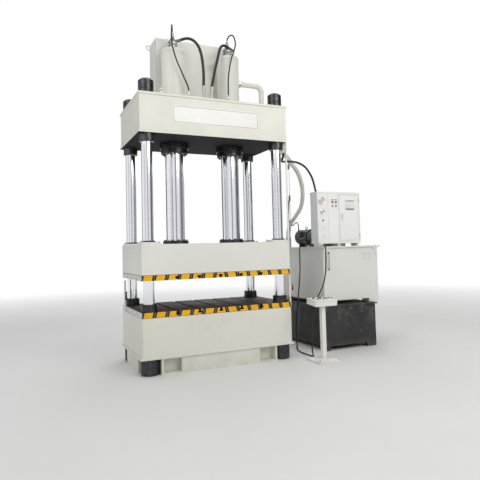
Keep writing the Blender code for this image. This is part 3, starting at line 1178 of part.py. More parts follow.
def make_stand():
    x, y = STAND_CENTRE
    half_x, half_y = STAND_BASE_SIZE[0] / 2, STAND_BASE_SIZE[1] / 2
    base_top = STAND_BASE_EDGE + STAND_BASE_SLOPE
    bm = bmesh.new()
    levels = ((half_x, half_y, 0), (half_x, half_y, STAND_BASE_EDGE),
              (STAND_BASE_TOP / 2, STAND_BASE_TOP / 2, base_top))
    loops = [[bm.verts.new((x + sx * hx, y + sy * hy, z)) for sx, sy in ((-1, -1), (1, -1), (1, 1), (-1, 1))]
             for hx, hy, z in levels]
    bm.faces.new(loops[0])
    bm.faces.new(loops[-1])
    for first, second in zip(loops, loops[1:]):
        for k in range(4):
            bm.faces.new((first[k], first[(k + 1) % 4], second[(k + 1) % 4], second[k]))
    stand = finish("operator_stand", bm, "white_paint")
    post = bmesh.new()
    add_box(post, (x - STAND_POST / 2, y - STAND_POST / 2, base_top - SINK),
            (x + STAND_POST / 2, y + STAND_POST / 2, STAND_POST_TOP))
    combine(stand, "UNION", post, "post")
    face = console_frame()
    width, depth, height = CONSOLE_SIZE
    box = bmesh.new()
    add_box(box, (-width / 2, -depth / 2, -height), (width / 2, depth / 2, 0), CONSOLE_EDGE)
    combine(stand, "UNION", box, "console", face.translation, face.to_euler())
    collars = bmesh.new()
    bores = bmesh.new()
    for px, py, radius, cap, paint in CONTROLS.values():
        spot = Matrix.Translation((px, py, 0))
        add_turned(collars, rod_profile(COLLAR_RADIUS, -SINK, COLLAR_HEIGHT), COLLAR_SIDES, spot)
        add_turned(bores, rod_profile(CONTROL_STEM_RADIUS + TOUCH, -CONTROL_BORE_DEPTH, COLLAR_HEIGHT + SINK),
                   FITTING_SIDES, spot)
    combine(stand, "UNION", collars, "collars", face.translation, face.to_euler())
    combine(stand, "DIFFERENCE", bores, "bores", face.translation, face.to_euler())
    glands = bmesh.new()
    for route in (PANEL_CABLE_ROUTE, FLOOR_CABLE_ROUTE):
        before, tip = Vector(route[-2]), Vector(route[-1])
        add_turned(glands, rod_profile(CABLE_GLAND_RADIUS, TOUCH, CABLE_GLAND_LENGTH + SINK), FITTING_SIDES,
                   along(tip - before, tip))
    combine(stand, "UNION", glands, "cable_glands")


def make_controls():
    face = console_frame()
    for name, (px, py, radius, height, paint) in CONTROLS.items():
        place = face @ Vector((px, py, COLLAR_HEIGHT))
        turns = name == "mode_selector"
        stem, lift = (SELECTOR_STEM_RADIUS, RUN) if turns else (CONTROL_STEM_RADIUS, CONTROL_LIFT)
        bm = bmesh.new()
        add_turned(bm, button_profile(stem, lift, radius, height), FITTING_SIDES)
        control = finish(name, bm, paint, place, face.to_euler())
        if turns:
            bar = bmesh.new()
            top = lift + height
            add_box(bar, (-SELECTOR_BAR[0] / 2, -SELECTOR_BAR[1] / 2, top - SINK),
                    (SELECTOR_BAR[0] / 2, SELECTOR_BAR[1] / 2, top + SELECTOR_BAR[2]))
            combine(control, "UNION", bar, "bar", place, face.to_euler())


# Hoses and cables

def smooth_route(points):
    """Points of a Catmull-Rom curve through the route's own points."""
    knots = [Vector(p) for p in points]
    knots = [2 * knots[0] - knots[1]] + knots + [2 * knots[-1] - knots[-2]]
    dense = []
    for k in range(1, len(knots) - 2):
        a, b, c, d = knots[k - 1:k + 3]
        for step in range(CORD_SAMPLES):
            t = step / CORD_SAMPLES
            dense.append(0.5 * (2 * b + (c - a) * t + (2 * a - 5 * b + 4 * c - d) * t * t
                                + (3 * b - a - 3 * c + d) * t ** 3))
    dense.append(knots[-2])
    return dense


def even_points(dense, spacing):
    lengths = [0.0]
    for first, second in zip(dense, dense[1:]):
        lengths.append(lengths[-1] + (second - first).length)
    count = max(4, round(lengths[-1] / spacing))
    points, index = [], 0
    for k in range(count + 1):
        target = lengths[-1] * k / count
        while index < len(dense) - 2 and lengths[index + 1] < target:
            index += 1
        share = (target - lengths[index]) / (lengths[index + 1] - lengths[index])
        points.append(dense[index].lerp(dense[index + 1], share))
    return points


def make_cord(name, route, radius, paint):
    """A hose or cable whose first and last segments are straight in their fittings."""
    smooth = smooth_route(route)[CORD_SAMPLES:-CORD_SAMPLES]
    points = [Vector(route[0])] + even_points(smooth, CORD_SPACING * 2 * radius) + [Vector(route[-1])]
    curve = bpy.data.curves.new(name, "CURVE")
    curve.dimensions = "3D"
    curve.bevel_depth = radius
    curve.bevel_resolution = 2
    curve.use_fill_caps = True
    spline = curve.splines.new("POLY")
    spline.points.add(len(points) - 1)
    for point, place in zip(spline.points, points):
        point.co = (*place, 1.0)
    link(name, curve, paint)


def main():
    clear_scene()
    make_bed()
    make_slotted_plate("bolster_plate", BED_BOX_TOP + TOUCH, TABLE_TOP, True, COLUMN_RADIUS + TOUCH)
    make_crown()
    make_brass_port()
    for corner in CORNERS:
        make_column(corner)
        make_nut("top_nut", corner, CROWN_TOP, TOP_NUT_HEIGHT)
        make_nut("bed_nut", corner, TABLE_TOP, BED_NUT_HEIGHT)
    slide_axis = carrier("slide_axis", (0, 0, SLIDE_BOTTOM))
    plate = make_slotted_plate("slide_plate", SLIDE_BOTTOM, SLIDE_BOX_BOTTOM, False, COLUMN_RADIUS + RUN)
    carry(slide_axis, make_slide(), plate)
    for label, side in SIDES.items():
        make_barrel(label, side)
        make_gland(label, side)
        make_prefill_valve(label, side)
        carry(slide_axis, make_ram(label, side), make_ram_flange(label, side))
    make_prefill_tank()
    make_elbow_pipe()
    make_limit_rail()
    make_lower_tank()
    make_oil_tank()
    make_filler()
    make_level_gauge()
    make_cabinet()
    make_cabinet_buttons()
    make_door()
    make_motor_set()
    make_manifold()
    make_stand()
    make_controls()
    for name, (radius, route) in TOP_HOSES.items():
        make_cord(name, route, radius, "black_rubber")
    make_cord("pressure_hose", PRESSURE_HOSE_ROUTE, PRESSURE_HOSE_RADIUS, "black_rubber")
    make_cord("return_hose", RETURN_HOSE_ROUTE, RETURN_HOSE_RADIUS, "clear_hose")
    make_cord("limit_switch_cable", LIMIT_CABLE_ROUTE, LIMIT_CABLE_RADIUS, "black_rubber")
    make_cord("panel_cable", PANEL_CABLE_ROUTE, CABLE_RADIUS, "black_rubber")
    make_cord("floor_cable", FLOOR_CABLE_ROUTE, CABLE_RADIUS, "black_rubber")


main()
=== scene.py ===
"""Looks of the four-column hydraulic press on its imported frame: camera, light, materials, small pieces."""

import functools
import math
import random
import re

import bmesh
import bpy
from mathutils import Matrix, Vector


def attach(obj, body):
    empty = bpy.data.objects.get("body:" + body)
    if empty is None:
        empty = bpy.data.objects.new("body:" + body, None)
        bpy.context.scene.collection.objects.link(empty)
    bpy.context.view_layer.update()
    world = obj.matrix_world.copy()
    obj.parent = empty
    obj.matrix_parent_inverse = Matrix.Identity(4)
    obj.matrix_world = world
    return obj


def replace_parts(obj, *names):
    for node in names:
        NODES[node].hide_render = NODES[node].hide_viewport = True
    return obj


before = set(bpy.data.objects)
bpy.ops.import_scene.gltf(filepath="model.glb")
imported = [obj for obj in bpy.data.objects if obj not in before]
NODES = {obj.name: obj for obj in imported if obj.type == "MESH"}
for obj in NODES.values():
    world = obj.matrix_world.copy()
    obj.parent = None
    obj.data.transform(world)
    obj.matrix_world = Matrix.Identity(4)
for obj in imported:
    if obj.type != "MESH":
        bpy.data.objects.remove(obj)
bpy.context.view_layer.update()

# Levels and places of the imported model, in metres
TOUCH = 0.0003
BED_FLANGE_BOTTOM = 0.213
BED_FLANGE_TOP = 0.238
BED_TOP = 0.748
TABLE_TOP = 0.819
SLIDE_BOTTOM = 1.23
SLIDE_BOX_BOTTOM = 1.301
SLIDE_TOP = 1.71
CAP_TOP = 1.738
CROWN_BOTTOM = 3.195
CROWN_TOP = 3.742
BARREL_TOP = 4.61
PREFILL_Y = 0.375
PREFILL_TOP = 4.8598
ELBOW_Z = 4.225
HALF_WIDTH = 1.1
HALF_DEPTH = 0.633
COLUMN_X = 0.979
COLUMN_Y = 0.52
RAM_X = 0.4425
RAIL = (1.128, -0.565)
CORNERS = {"front_left": (-1, -1), "front_right": (1, -1), "rear_left": (-1, 1), "rear_right": (1, 1)}
SIDES = {"left": -1, "right": 1}
OIL_TANK = (1.836, 2.9, -0.406, 0.954, 1.624)
LOWER_TANK = (1.772, 2.745, -0.499, 1.021, 0.677)
CABINET = (1.822, 2.66, -0.306, 1.668, 2.512)
DOOR = (2.238, 2.638, 1.712, 2.472)
MOTOR_AXIS = (2.08, 1.8)
FILLER = (2.636, 0.694, 1.624)
CONSOLE_CENTRE = (1.385, -1.033, 0.876)
CONSOLE_TILT = math.radians(6.5)
COLUMN_SKIN = 0.078
BEAD_STEP = 0.02
BEAD_INSET = 0.0015
JOINT_LINE = 0.0007
CORNER_STEPS = 5
FLOOR_REACH = 60
SMOOTH_ANGLE = math.radians(38)
RIB_ANGLE = math.radians(75)

# Camera of the photograph
CAMERA_PLACE = (-2.564, -7.172, 1.614)
CAMERA_YAW = math.radians(25.1)
CAMERA_PITCH = math.radians(3.067)
CAMERA_ROLL = math.radians(-1.495)
CAMERA_LENS = 37.755
CAMERA_SENSOR = 36
CAMERA_REACH = 200
CAMERA_SHIFT = (-0.0247, -0.0376)

# Hoses and cables: the points that each one follows, as in the solid model
CORD_SAMPLES = 16
HOSE_STEP = 0.022
RIB_STEP = 0.004
PATH_STEP = 0.03
WRAP_PITCH = 0.024
RIB_PITCH = 0.016
ROUTES = {
    "thin_hose_left": (
        (-0.4425, 0, 4.8655), (-0.4425, 0, 4.884), (-0.4461, -0.0101, 4.924), (-0.4559, -0.0377, 4.9533),
        (-0.4694, -0.0754, 4.964), (-0.4828, -0.113, 4.9533), (-0.4927, -0.1406, 4.924),
        (-0.501, -0.166, 4.872), (-0.513, -0.2, 4.79), (-0.517, -0.216, 4.7), (-0.506, -0.233, 4.56),
        (-0.451, -0.25, 4.356), (-0.344, -0.25, 4.121), (-0.296, -0.25, 4.01), (-0.283, -0.25, 3.95),
        (-0.281, -0.25, 3.92), (-0.281, -0.25, 3.895)),
    "thick_hose_left": (
        (-0.335, -0.045, 4.772), (-0.302, -0.05, 4.786), (-0.235, -0.062, 4.806), (-0.168, -0.082, 4.793),
        (-0.112, -0.115, 4.738), (-0.072, -0.155, 4.64), (-0.05, -0.2, 4.48), (-0.044, -0.235, 4.25),
        (-0.05, -0.248, 4.08), (-0.052, -0.25, 4.025), (-0.052, -0.25, 3.98)),
    "thick_hose_right": (
        (0.425, -0.07, 4.762), (0.392, -0.086, 4.768), (0.343, -0.109, 4.765), (0.298, -0.131, 4.739),
        (0.268, -0.145, 4.698), (0.238, -0.16, 4.615), (0.205, -0.177, 4.5), (0.154, -0.205, 4.34),
        (0.108, -0.238, 4.17), (0.087, -0.248, 4.08), (0.082, -0.25, 4.02), (0.082, -0.25, 3.98)),
    "thin_hose_right": (
        (0.4425, 0, 4.8655), (0.4425, 0, 4.884), (0.4468, -0.0095, 4.923), (0.4585, -0.0356, 4.9515),
        (0.4744, -0.0711, 4.962), (0.4904, -0.1067, 4.9515), (0.502, -0.1327, 4.923), (0.508, -0.16, 4.862),
        (0.508, -0.182, 4.795), (0.482, -0.206, 4.7), (0.402, -0.24, 4.49), (0.354, -0.25, 4.26),
        (0.343, -0.25, 4.08), (0.342, -0.25, 3.94), (0.342, -0.25, 3.895)),
    "pressure_hose": (
        (1.068, -0.604, 3.0896), (1.068, -0.604, 3.07), (1.07, -0.588, 3.008), (1.077, -0.545, 2.963),
        (1.096, -0.484, 2.946), (1.14, -0.412, 2.948), (1.206, -0.345, 2.957), (1.3, -0.28, 2.974),
        (1.44, -0.195, 2.996), (1.61, -0.1, 3), (1.78, 0, 2.972), (1.92, 0.1, 2.915), (2.055, 0.19, 2.8),
        (2.14, 0.245, 2.63), (2.2, 0.268, 2.43), (2.285, 0.272, 2.235), (2.378, 0.2735, 2.075),
        (2.43, 0.2735, 1.95), (2.446, 0.2735, 1.855), (2.446, 0.2735, 1.815)),
    "return_hose": (
        (1.1404, 0.2, 3.3), (1.26, 0.2, 3.3), (1.43, 0.23, 3.262), (1.62, 0.3, 3.175), (1.78, 0.4, 3.065),
        (1.955, 0.5, 2.935), (2.09, 0.6, 2.72), (2.14, 0.68, 2.5), (2.12, 0.73, 2.33), (2.045, 0.78, 2.19),
        (1.96, 0.84, 2.04), (1.93, 0.875, 1.88), (1.93, 0.875, 1.7744)),
    "limit_switch_cable": (
        (1.153, -0.565, 2.3245), (1.153, -0.565, 2.3145), (1.1546, -0.5617, 2.2753),
        (1.1644, -0.5416, 2.2309), (1.1982, -0.4744, 2.1662), (1.2769, -0.3289, 2.0746),
        (1.3781, -0.1788, 2.0192), (1.4941, -0.0195, 1.9901), (1.6086, 0.1313, 1.9856),
        (1.7234, 0.279, 2.0149), (1.778, 0.3479, 2.0329), (1.8086, 0.3855, 2.0444),
        (1.8416, 0.4222, 2.0517), (1.8558, 0.4361, 2.0526), (1.8782, 0.4559, 2.0511),
        (1.913, 0.4842, 2.0316), (1.9339, 0.4987, 1.9897), (1.936, 0.5, 1.94), (1.936, 0.5, 1.93)),
    "panel_cable": (
        (1.925, 0.15, 1.6504), (1.925, 0.15, 1.669), (1.925, 0.1394, 1.7085), (1.925, 0.1105, 1.7374),
        (1.925, 0.071, 1.748), (1.925, 0.0257, 1.7337), (1.925, -0.0035, 1.6952), (1.925, -0.0327, 1.6568),
        (1.925, -0.078, 1.6425), (1.924, -0.15, 1.6385), (1.918, -0.24, 1.638), (1.898, -0.32, 1.642),
        (1.868, -0.385, 1.654), (1.85, -0.427, 1.653), (1.837, -0.468, 1.634), (1.829, -0.495, 1.594),
        (1.823, -0.506, 1.535), (1.812, -0.517, 1.43), (1.78, -0.556, 1.29), (1.71, -0.63, 1.15),
        (1.62, -0.703, 1.03), (1.545, -0.748, 0.952), (1.49, -0.778, 0.902), (1.454, -0.806, 0.866),
        (1.436, -0.838, 0.844), (1.43, -0.868, 0.836), (1.43, -0.885, 0.836)),
    "floor_cable": (
        (1.88, 0.12, 1.6504), (1.88, 0.12, 1.669), (1.8694, 0.1198, 1.7085), (1.8405, 0.1192, 1.7374),
        (1.801, 0.1184, 1.748), (1.7615, 0.1176, 1.7374), (1.7326, 0.1171, 1.7085), (1.722, 0.1168, 1.669),
        (1.7225, 0.122, 1.59), (1.728, 0.138, 1.45), (1.74, 0.168, 1.2), (1.734, 0.205, 0.95),
        (1.72, 0.235, 0.73), (1.711, 0.27, 0.48), (1.704, 0.292, 0.28), (1.7, 0.29, 0.15),
        (1.692, 0.268, 0.078), (1.67, 0.22, 0.032), (1.632, 0.15, 0.0125), (1.585, 0.07, 0.0105),
        (1.48, -0.12, 0.0105), (1.405, -0.34, 0.0105), (1.388, -0.54, 0.0105), (1.392, -0.68, 0.0112),
        (1.374, -0.775, 0.022), (1.332, -0.832, 0.062), (1.29, -0.882, 0.14), (1.264, -0.925, 0.27),
        (1.262, -0.945, 0.43), (1.285, -0.96, 0.585), (1.316, -0.968, 0.68), (1.329, -0.97, 0.74),
        (1.33, -0.97, 0.78)),
}


def tone(red, green, blue):
    """Linear colour of a screen colour that is written from 0 to 255."""
    parts = [v / 255 for v in (red, green, blue)]
    return tuple(v / 12.92 if v <= 0.04045 else ((v + 0.055) / 1.055) ** 2.4 for v in parts) + (1.0,)


def shaded(colour, share):
    return tuple(v * share for v in colour[:3]) + (1.0,)


# Materials

class Nodes:
    """A node tree written as nested calls."""

    def __init__(self, tree):
        self.tree = tree

    def node(self, kind, inputs=None, **settings):
        made = self.tree.nodes.new("ShaderNode" + kind)
        for name, value in settings.items():
            setattr(made, name, value)
        for socket, value in (inputs or {}).items():
            self.put(made.inputs[socket], value)
        return made

    def put(self, socket, value):
        if isinstance(value, bpy.types.NodeSocket):
            self.tree.links.new(value, socket)
        else:
            socket.default_value = value

    def math(self, operation, *values):
        return self.node("Math", dict(enumerate(values)), operation=operation).outputs[0]

    def mix(self, factor, first, second):
        return self.node("Mix", {0: factor, 6: first, 7: second}, data_type="RGBA").outputs[2]

    def layers(self, colour, *over):
        """Colours laid over each other, each a mask and its colour."""
        for mask, laid in over:
            colour = self.mix(mask, colour, laid)
        return colour

    def level(self, factor, first, second):
        """A number between two others."""
        return self.node("Mix", {0: factor, 2: first, 3: second}).outputs[0]

    def span(self, value, low, high, first=0.0, second=1.0):
        return self.node("MapRange", {0: value, 1: low, 2: high, 3: first, 4: second}).outputs[0]

    def any(self, *masks):
        return functools.reduce(lambda a, b: self.math("MAXIMUM", a, b), masks)

    def both(self, *masks):
        return functools.reduce(lambda a, b: self.math("MULTIPLY", a, b), masks)

    def above(self, value, limit):
        return self.math("GREATER_THAN", value, limit)

    def below(self, value, limit):
        return self.math("LESS_THAN", value, limit)


class Finish(Nodes):
    """A procedural material round one Principled shader."""

    def __init__(self, name, roughness=0.5, metallic=0.0, **sockets):
        self.material = bpy.data.materials.new(name)
        self.material.use_nodes = True
        super().__init__(self.material.node_tree)
        self.shader = self.tree.nodes["Principled BSDF"]
        for socket, value in {"Roughness": roughness, "Metallic": metallic, **sockets}.items():
            self.set(socket.replace("_", " "), value)
        self.place = self.node("TexCoord").outputs["Object"]
        self.x, self.y, self.z = self.node("SeparateXYZ", {0: self.place}).outputs
        self.normal = self.node("NewGeometry").outputs["Normal"]

    def set(self, socket, value):
        self.put(self.shader.inputs[socket], value)

    def noise(self, scale, detail=3.0, roughness=0.55, stretch=None, offset=0.0):
        place = self.place
        if stretch or offset:
            place = self.node("Mapping", {0: place, 1: (offset,) * 3, 3: stretch or (1, 1, 1)}).outputs[0]
        return self.node("TexNoise", {"Vector": place, "Scale": scale, "Detail": detail,
                                      "Roughness": roughness}).outputs[0]

    def cloud(self, low, high, *noise, top=1.0, **more):
        """A mask that rises from 0 to top while the noise rises from low to high."""
        return self.span(self.noise(*noise, **more), low, high, 0.0, top)

    def between(self, first, second, *noise, **more):
        """A number that wanders from first to second with the noise."""
        return self.span(self.noise(*noise, **more), 0.3, 0.7, first, second)

    def facing(self, axis):
        """How far the surface faces along an axis, from -1 to 1."""
        return self.node("SeparateXYZ", {0: self.normal}).outputs[axis]

    def soft_normal(self, radius):
        return self.node("Bevel", {"Radius": radius}, samples=4).outputs[0]

    def edges(self, radius):
        """0 on open faces, rising to 1 on edges and in corners."""
        turned = self.node("VectorMath", {0: self.soft_normal(radius), 1: self.normal},
                           operation="DOT_PRODUCT")
        return self.span(turned.outputs["Value"], 1.0, 0.86)

    def bump(self, *layers, edge=0.0):
        """Bumps laid over each other, each a height and its depth in metres, on softened edges."""
        normal = self.soft_normal(edge) if edge else None
        for height, depth in layers:
            inputs = {"Height": height, "Distance": depth, "Strength": 1.0}
            if normal:
                inputs["Normal"] = normal
            normal = self.node("Bump", inputs).outputs[0]
        self.set("Normal", normal)
        return self

    def peel(self, depth=0.00012, wave=0.0016, edge=0.004):
        """The fine orange peel and slow waves of sprayed paint."""
        return self.bump((self.noise(420, 2), depth), (self.noise(2.2, 2), wave), edge=edge)


def enamel_colour(finish, colour, grime=0.5, low=None):
    """Sprayed machine paint: slow clouds, faint runs, handled edges and dirt near the floor."""
    rub = finish.both(finish.edges(0.01), finish.cloud(0.42, 0.66, 9, 5))
    runs = finish.cloud(0.56, 0.8, 1, 4, stretch=(14, 14, 0.7), offset=3, top=0.16 * grime)
    over = [(runs, shaded(colour, 0.62)),
            (finish.cloud(0.6, 0.78, 3.1, 6, 0.62, offset=7, top=0.24 * grime), tone(150, 142, 124)),
            (finish.span(finish.node("TexVoronoi", {"Vector": finish.place, "Scale": 7.5}).outputs[0],
                         0.03, 0.018, 0, 0.45 * grime), tone(110, 103, 90)),
            (finish.both(rub, 0.38 * grime), tone(128, 120, 104))]
    if low is not None:
        dust = finish.both(finish.span(finish.z, low, 0), finish.cloud(0.36, 0.72, 5, 6, 0.65))
        over.append((finish.both(dust, 0.32), tone(132, 124, 108)))
    base = finish.mix(finish.cloud(0.35, 0.68, 0.9, 4), shaded(colour, 0.955), shaded(colour, 1.015))
    return finish.layers(base, *over)


def enamel(name, colour, gloss=0.40, grime=0.5, low=None, edge=0.004):
    finish = Finish(name, Coat_Weight=0.15, Coat_Roughness=0.25)
    finish.set("Base Color", enamel_colour(finish, colour, grime, low))
    finish.set("Roughness", finish.between(gloss - 0.06, gloss + 0.12, 4, 4, offset=2))
    return finish.peel(edge=edge)


def steel_colour(finish, colour, scale=30.0):
    return finish.mix(finish.cloud(0.32, 0.7, scale, 5, 0.6), shaded(colour, 0.82), shaded(colour, 1.1))


def steel(name, colour, roughness, metallic=1.0, grain=0.00006):
    finish = Finish(name, metallic=metallic)
    finish.set("Base Color", steel_colour(finish, colour))
    finish.set("Roughness", finish.between(roughness - 0.07, roughness + 0.09, 51, 4))
    return finish.bump((finish.noise(600, 2), grain), edge=0.0015)


def plastic(name, colour, roughness=0.42, **sockets):
    finish = Finish(name, **sockets)
    cloud = finish.cloud(0.35, 0.65, 60)
    finish.set("Base Color", finish.mix(cloud, shaded(colour, 0.93), shaded(colour, 1.05)))
    finish.set("Roughness", finish.between(roughness - 0.05, roughness + 0.07, 90))
    return finish.bump((finish.noise(900, 2), 0.00008), edge=0.0008)


def cap(name, *colour):
    """Glossy plastic of a push button."""
    return plastic(name, tone(*colour), 0.32, Coat_Weight=0.3, Coat_Roughness=0.12)


CREAM = tone(226, 224, 213)
WHITE = tone(238, 239, 235)
YELLOW = tone(247, 184, 22)


def elbow_finish():
    """Enamelled pipe, bright steel at the cylinder and at its flange."""
    finish = Finish("pipe_enamel")
    metal = finish.any(finish.below(finish.x, 0.655), finish.below(finish.z, 3.768))
    bright = steel_colour(finish, tone(186, 186, 184))
    finish.set("Base Color", finish.mix(metal, enamel_colour(finish, CREAM), bright))
    finish.set("Metallic", metal)
    finish.set("Roughness", finish.level(metal, finish.between(0.34, 0.52, 4, 4), 0.36))
    return finish.peel(0.0001)


def crown_finish():
    """Cream box with a near-black underside of primer and painted shade, steel hose adaptors on top and a
    steel return port.
    """
    finish = Finish("crown_enamel")
    # Faces turned down under the crown are near black: partly black primer, partly painted shade.
    under = finish.both(finish.below(finish.facing(2), -0.5), finish.below(finish.z, CROWN_BOTTOM + 0.004))
    adaptors = finish.both(finish.above(finish.z, CROWN_TOP + 0.0006), finish.above(finish.y, -0.5))
    port = finish.both(finish.above(finish.x, HALF_WIDTH + 0.0006), finish.below(finish.z, 3.6))
    fittings = finish.any(adaptors, port)
    finish.set("Base Color", finish.layers(enamel_colour(finish, CREAM, grime=0.4),
                                           (under, steel_colour(finish, tone(12, 12, 11), 12)),
                                           (fittings, steel_colour(finish, tone(196, 196, 192)))))
    finish.set("Metallic", fittings)
    rough = finish.level(under, finish.between(0.34, 0.52, 4), 0.9)
    finish.set("Roughness", finish.level(fittings, rough, 0.3))
    return finish.peel()


def slide_finish():
    """Slide box: enamel, black wiper rings over the guide caps and a steel dog on the right."""
    finish = Finish("slide_enamel")
    rubber = finish.above(finish.z, CAP_TOP + 0.0006)
    dog = finish.above(finish.x, HALF_WIDTH + 0.0008)
    finish.set("Base Color", finish.layers(enamel_colour(finish, tone(228, 228, 221), grime=0.35),
                                           (rubber, tone(24, 24, 25)),
                                           (dog, steel_colour(finish, tone(150, 150, 148)))))
    finish.set("Metallic", dog)
    finish.set("Roughness", finish.between(0.36, 0.52, 4))
    return finish.peel(wave=0.0014)


STRIPE_PITCH = 2.2 / 13
STRIPE_SHARE = 0.68
STRIPE_LEAN = 0.26


def table_finish(name, bottom, top, face_down):
    """T-slotted plate: hazard bars on its front edge, enamel on the other edges, bare steel on its face."""
    finish = Finish(name, Specular_IOR_Level=0.25)
    across = finish.math("ABSOLUTE", finish.x)
    lean = finish.both(finish.math("SUBTRACT", finish.z, (bottom + top) / 2), STRIPE_LEAN)
    turns = finish.math("ADD", finish.math("DIVIDE", finish.math("ADD", across, lean), STRIPE_PITCH), 0.5)
    phase = finish.math("ABSOLUTE", finish.math("SUBTRACT", finish.math("FRACT", turns), 0.5))
    phase = finish.math("ADD", phase, finish.both(finish.math("SUBTRACT", finish.noise(70), 0.5), 0.012))
    yellow = finish.mix(finish.cloud(0.3, 0.7, 11, 4), shaded(YELLOW, 0.88), shaded(YELLOW, 1.03))
    # The middle of each black bar is grey: a painted highlight along the bar.
    bars = finish.layers(tone(104, 99, 88), (finish.below(phase, 0.455), tone(34, 31, 26)),
                         (finish.below(phase, STRIPE_SHARE / 2), yellow),
                         (finish.cloud(0.6, 0.74, 26, 6, 0.7, offset=4, top=0.5), tone(112, 98, 66)))
    front_edge = finish.both(finish.below(finish.facing(1), -0.5),
                             finish.below(finish.y, -HALF_DEPTH + 0.0005))
    face = finish.below(finish.facing(2), -0.5) if face_down else finish.above(finish.facing(2), 0.5)
    outer = finish.any(finish.above(across, HALF_WIDTH - 0.0015),
                       finish.above(finish.math("ABSOLUTE", finish.y), HALF_DEPTH - 0.0015))
    wear = finish.noise(2.4, 6, 0.62)
    metal = finish.layers(tone(48, 39, 30), (finish.span(wear, 0.32, 0.7), tone(80, 69, 56)),
                          (finish.cloud(0.55, 0.7, 1, 4, stretch=(5, 90, 5), top=0.35), tone(104, 98, 90)),
                          (finish.cloud(0.6, 0.72, 5.5, 6, 0.7, offset=9, top=0.7), tone(88, 58, 38)))
    edge_paint = enamel_colour(finish, tone(214, 214, 207), grime=0.7)
    finish.set("Base Color", finish.layers(metal, (outer, edge_paint), (face, metal), (front_edge, bars)))
    painted = finish.any(front_edge, finish.both(outer, finish.math("SUBTRACT", 1.0, face)))
    bare = finish.math("SUBTRACT", 1.0, painted)
    finish.set("Metallic", finish.both(bare, 0.15))
    finish.set("Roughness", finish.level(bare, 0.46, finish.span(wear, 0.3, 0.7, 0.5, 0.7)))
    return finish.bump((finish.noise(300), 0.0001), edge=0.002)


def chrome_colour(finish):
    fine = finish.cloud(0.35, 0.65, 1, stretch=(6, 6, 500))
    return finish.mix(fine, tone(222, 223, 227), tone(236, 237, 240))


def column_finish():
    """Ground chromed column with black nuts fused on it and bare threads above the crown."""
    finish = Finish("column_chrome")
    out_x = finish.math("SUBTRACT", finish.math("ABSOLUTE", finish.x), COLUMN_X)
    out_y = finish.math("SUBTRACT", finish.math("ABSOLUTE", finish.y), COLUMN_Y)
    squares = finish.math("ADD", finish.both(out_x, out_x), finish.both(out_y, out_y))
    nut = finish.any(finish.above(squares, COLUMN_SKIN ** 2), finish.above(finish.z, CROWN_TOP),
                     finish.below(finish.z, 0.8))
    oxide = finish.mix(finish.cloud(0.3, 0.7, 26, 5), tone(46, 45, 47), tone(86, 85, 87))
    finish.set("Base Color", finish.mix(nut, chrome_colour(finish), oxide))
    finish.set("Metallic", finish.level(nut, 1.0, 0.75))
    finish.set("Roughness", finish.level(nut, 0.1, 0.32))
    return finish.bump((finish.noise(1, 2, stretch=(20, 20, 900)), 0.0000015))


def ram_finish():
    finish = Finish("ram_chrome", metallic=1.0)
    finish.set("Base Color", chrome_colour(finish))
    finish.set("Roughness", finish.between(0.08, 0.13, 14))
    return finish.bump((finish.noise(1, 2, stretch=(20, 20, 900)), 0.0000015))


def oxide_finish():
    """Blued nuts and flanges: near black, brighter on the corners that spanners touch."""
    finish = Finish("black_oxide", metallic=0.9)
    bright = finish.both(finish.edges(0.004), finish.cloud(0.45, 0.62, 20, 4), 0.5)
    finish.set("Base Color", finish.layers(
        tone(40, 39, 41), (finish.cloud(0.3, 0.7, 24, 5), tone(80, 79, 81)), (bright, tone(132, 130, 127))))
    finish.set("Roughness", finish.between(0.24, 0.38, 32, 4))
    return finish.bump((finish.noise(500, 2), 0.0001), edge=0.002)


def charcoal_finish():
    """Dark tank paint: dusty, scratched, rubbed through along its edges."""
    finish = Finish("charcoal_paint")
    edge = finish.both(finish.edges(0.01), finish.cloud(0.4, 0.6, 13, 6), 0.6)
    worn = finish.both(finish.span(finish.z, 0.34, 0.66), finish.cloud(0.52, 0.6, 4.2, 7, 0.72, offset=11),
                       0.55)
    haze = finish.both(finish.cloud(0.48, 0.66, 1.3, offset=6), finish.span(finish.z, 0.05, 0.35), 0.4)
    low = finish.both(finish.span(finish.z, 0.16, 0), finish.cloud(0.3, 0.7, 7, 5), 0.7)
    finish.set("Base Color", finish.layers(
        tone(26, 27, 27), (finish.cloud(0.35, 0.7, 1.6, 5), tone(46, 47, 46)),
        (finish.cloud(0.6, 0.72, 6, 6, 0.7, offset=5, top=0.7), tone(122, 120, 114)),
        (finish.cloud(0.7, 0.74, 1, 3, 0.5, stretch=(3, 3, 60), offset=1, top=0.22), tone(150, 147, 140)),
        (edge, tone(138, 132, 122)), (worn, tone(112, 113, 112)), (haze, tone(92, 92, 88)),
        (low, tone(108, 102, 90))))
    finish.set("Roughness", finish.between(0.42, 0.68, 5, 4))
    return finish.bump((finish.noise(320, 2), 0.00016), (finish.noise(2.6), 0.0018), edge=0.004)


def rubber_finish(name, *colour):
    """Hose cover: matt black with the fine marks of its wrapping and a little dust."""
    finish = Finish(name)
    dust = finish.cloud(0.5, 0.78, 9, 5, top=0.35)
    finish.set("Base Color", finish.mix(dust, tone(*colour), tone(82, 78, 71)))
    finish.set("Roughness", finish.between(0.46, 0.62, 20, 4))
    return finish.bump((finish.noise(260), 0.0004))


def milky_finish():
    """Clear ribbed suction hose, gone milky, with oil standing in it."""
    finish = Finish("milky_hose", 0.3, Transmission_Weight=0.2, IOR=1.45, Subsurface_Weight=0.15,
                    Subsurface_Radius=(0.02, 0.02, 0.018))
    oil = finish.cloud(0.35, 0.7, 7, 4)
    finish.set("Base Color", finish.mix(oil, tone(212, 211, 203), tone(232, 232, 226)))
    return finish.bump((finish.noise(120), 0.0003))


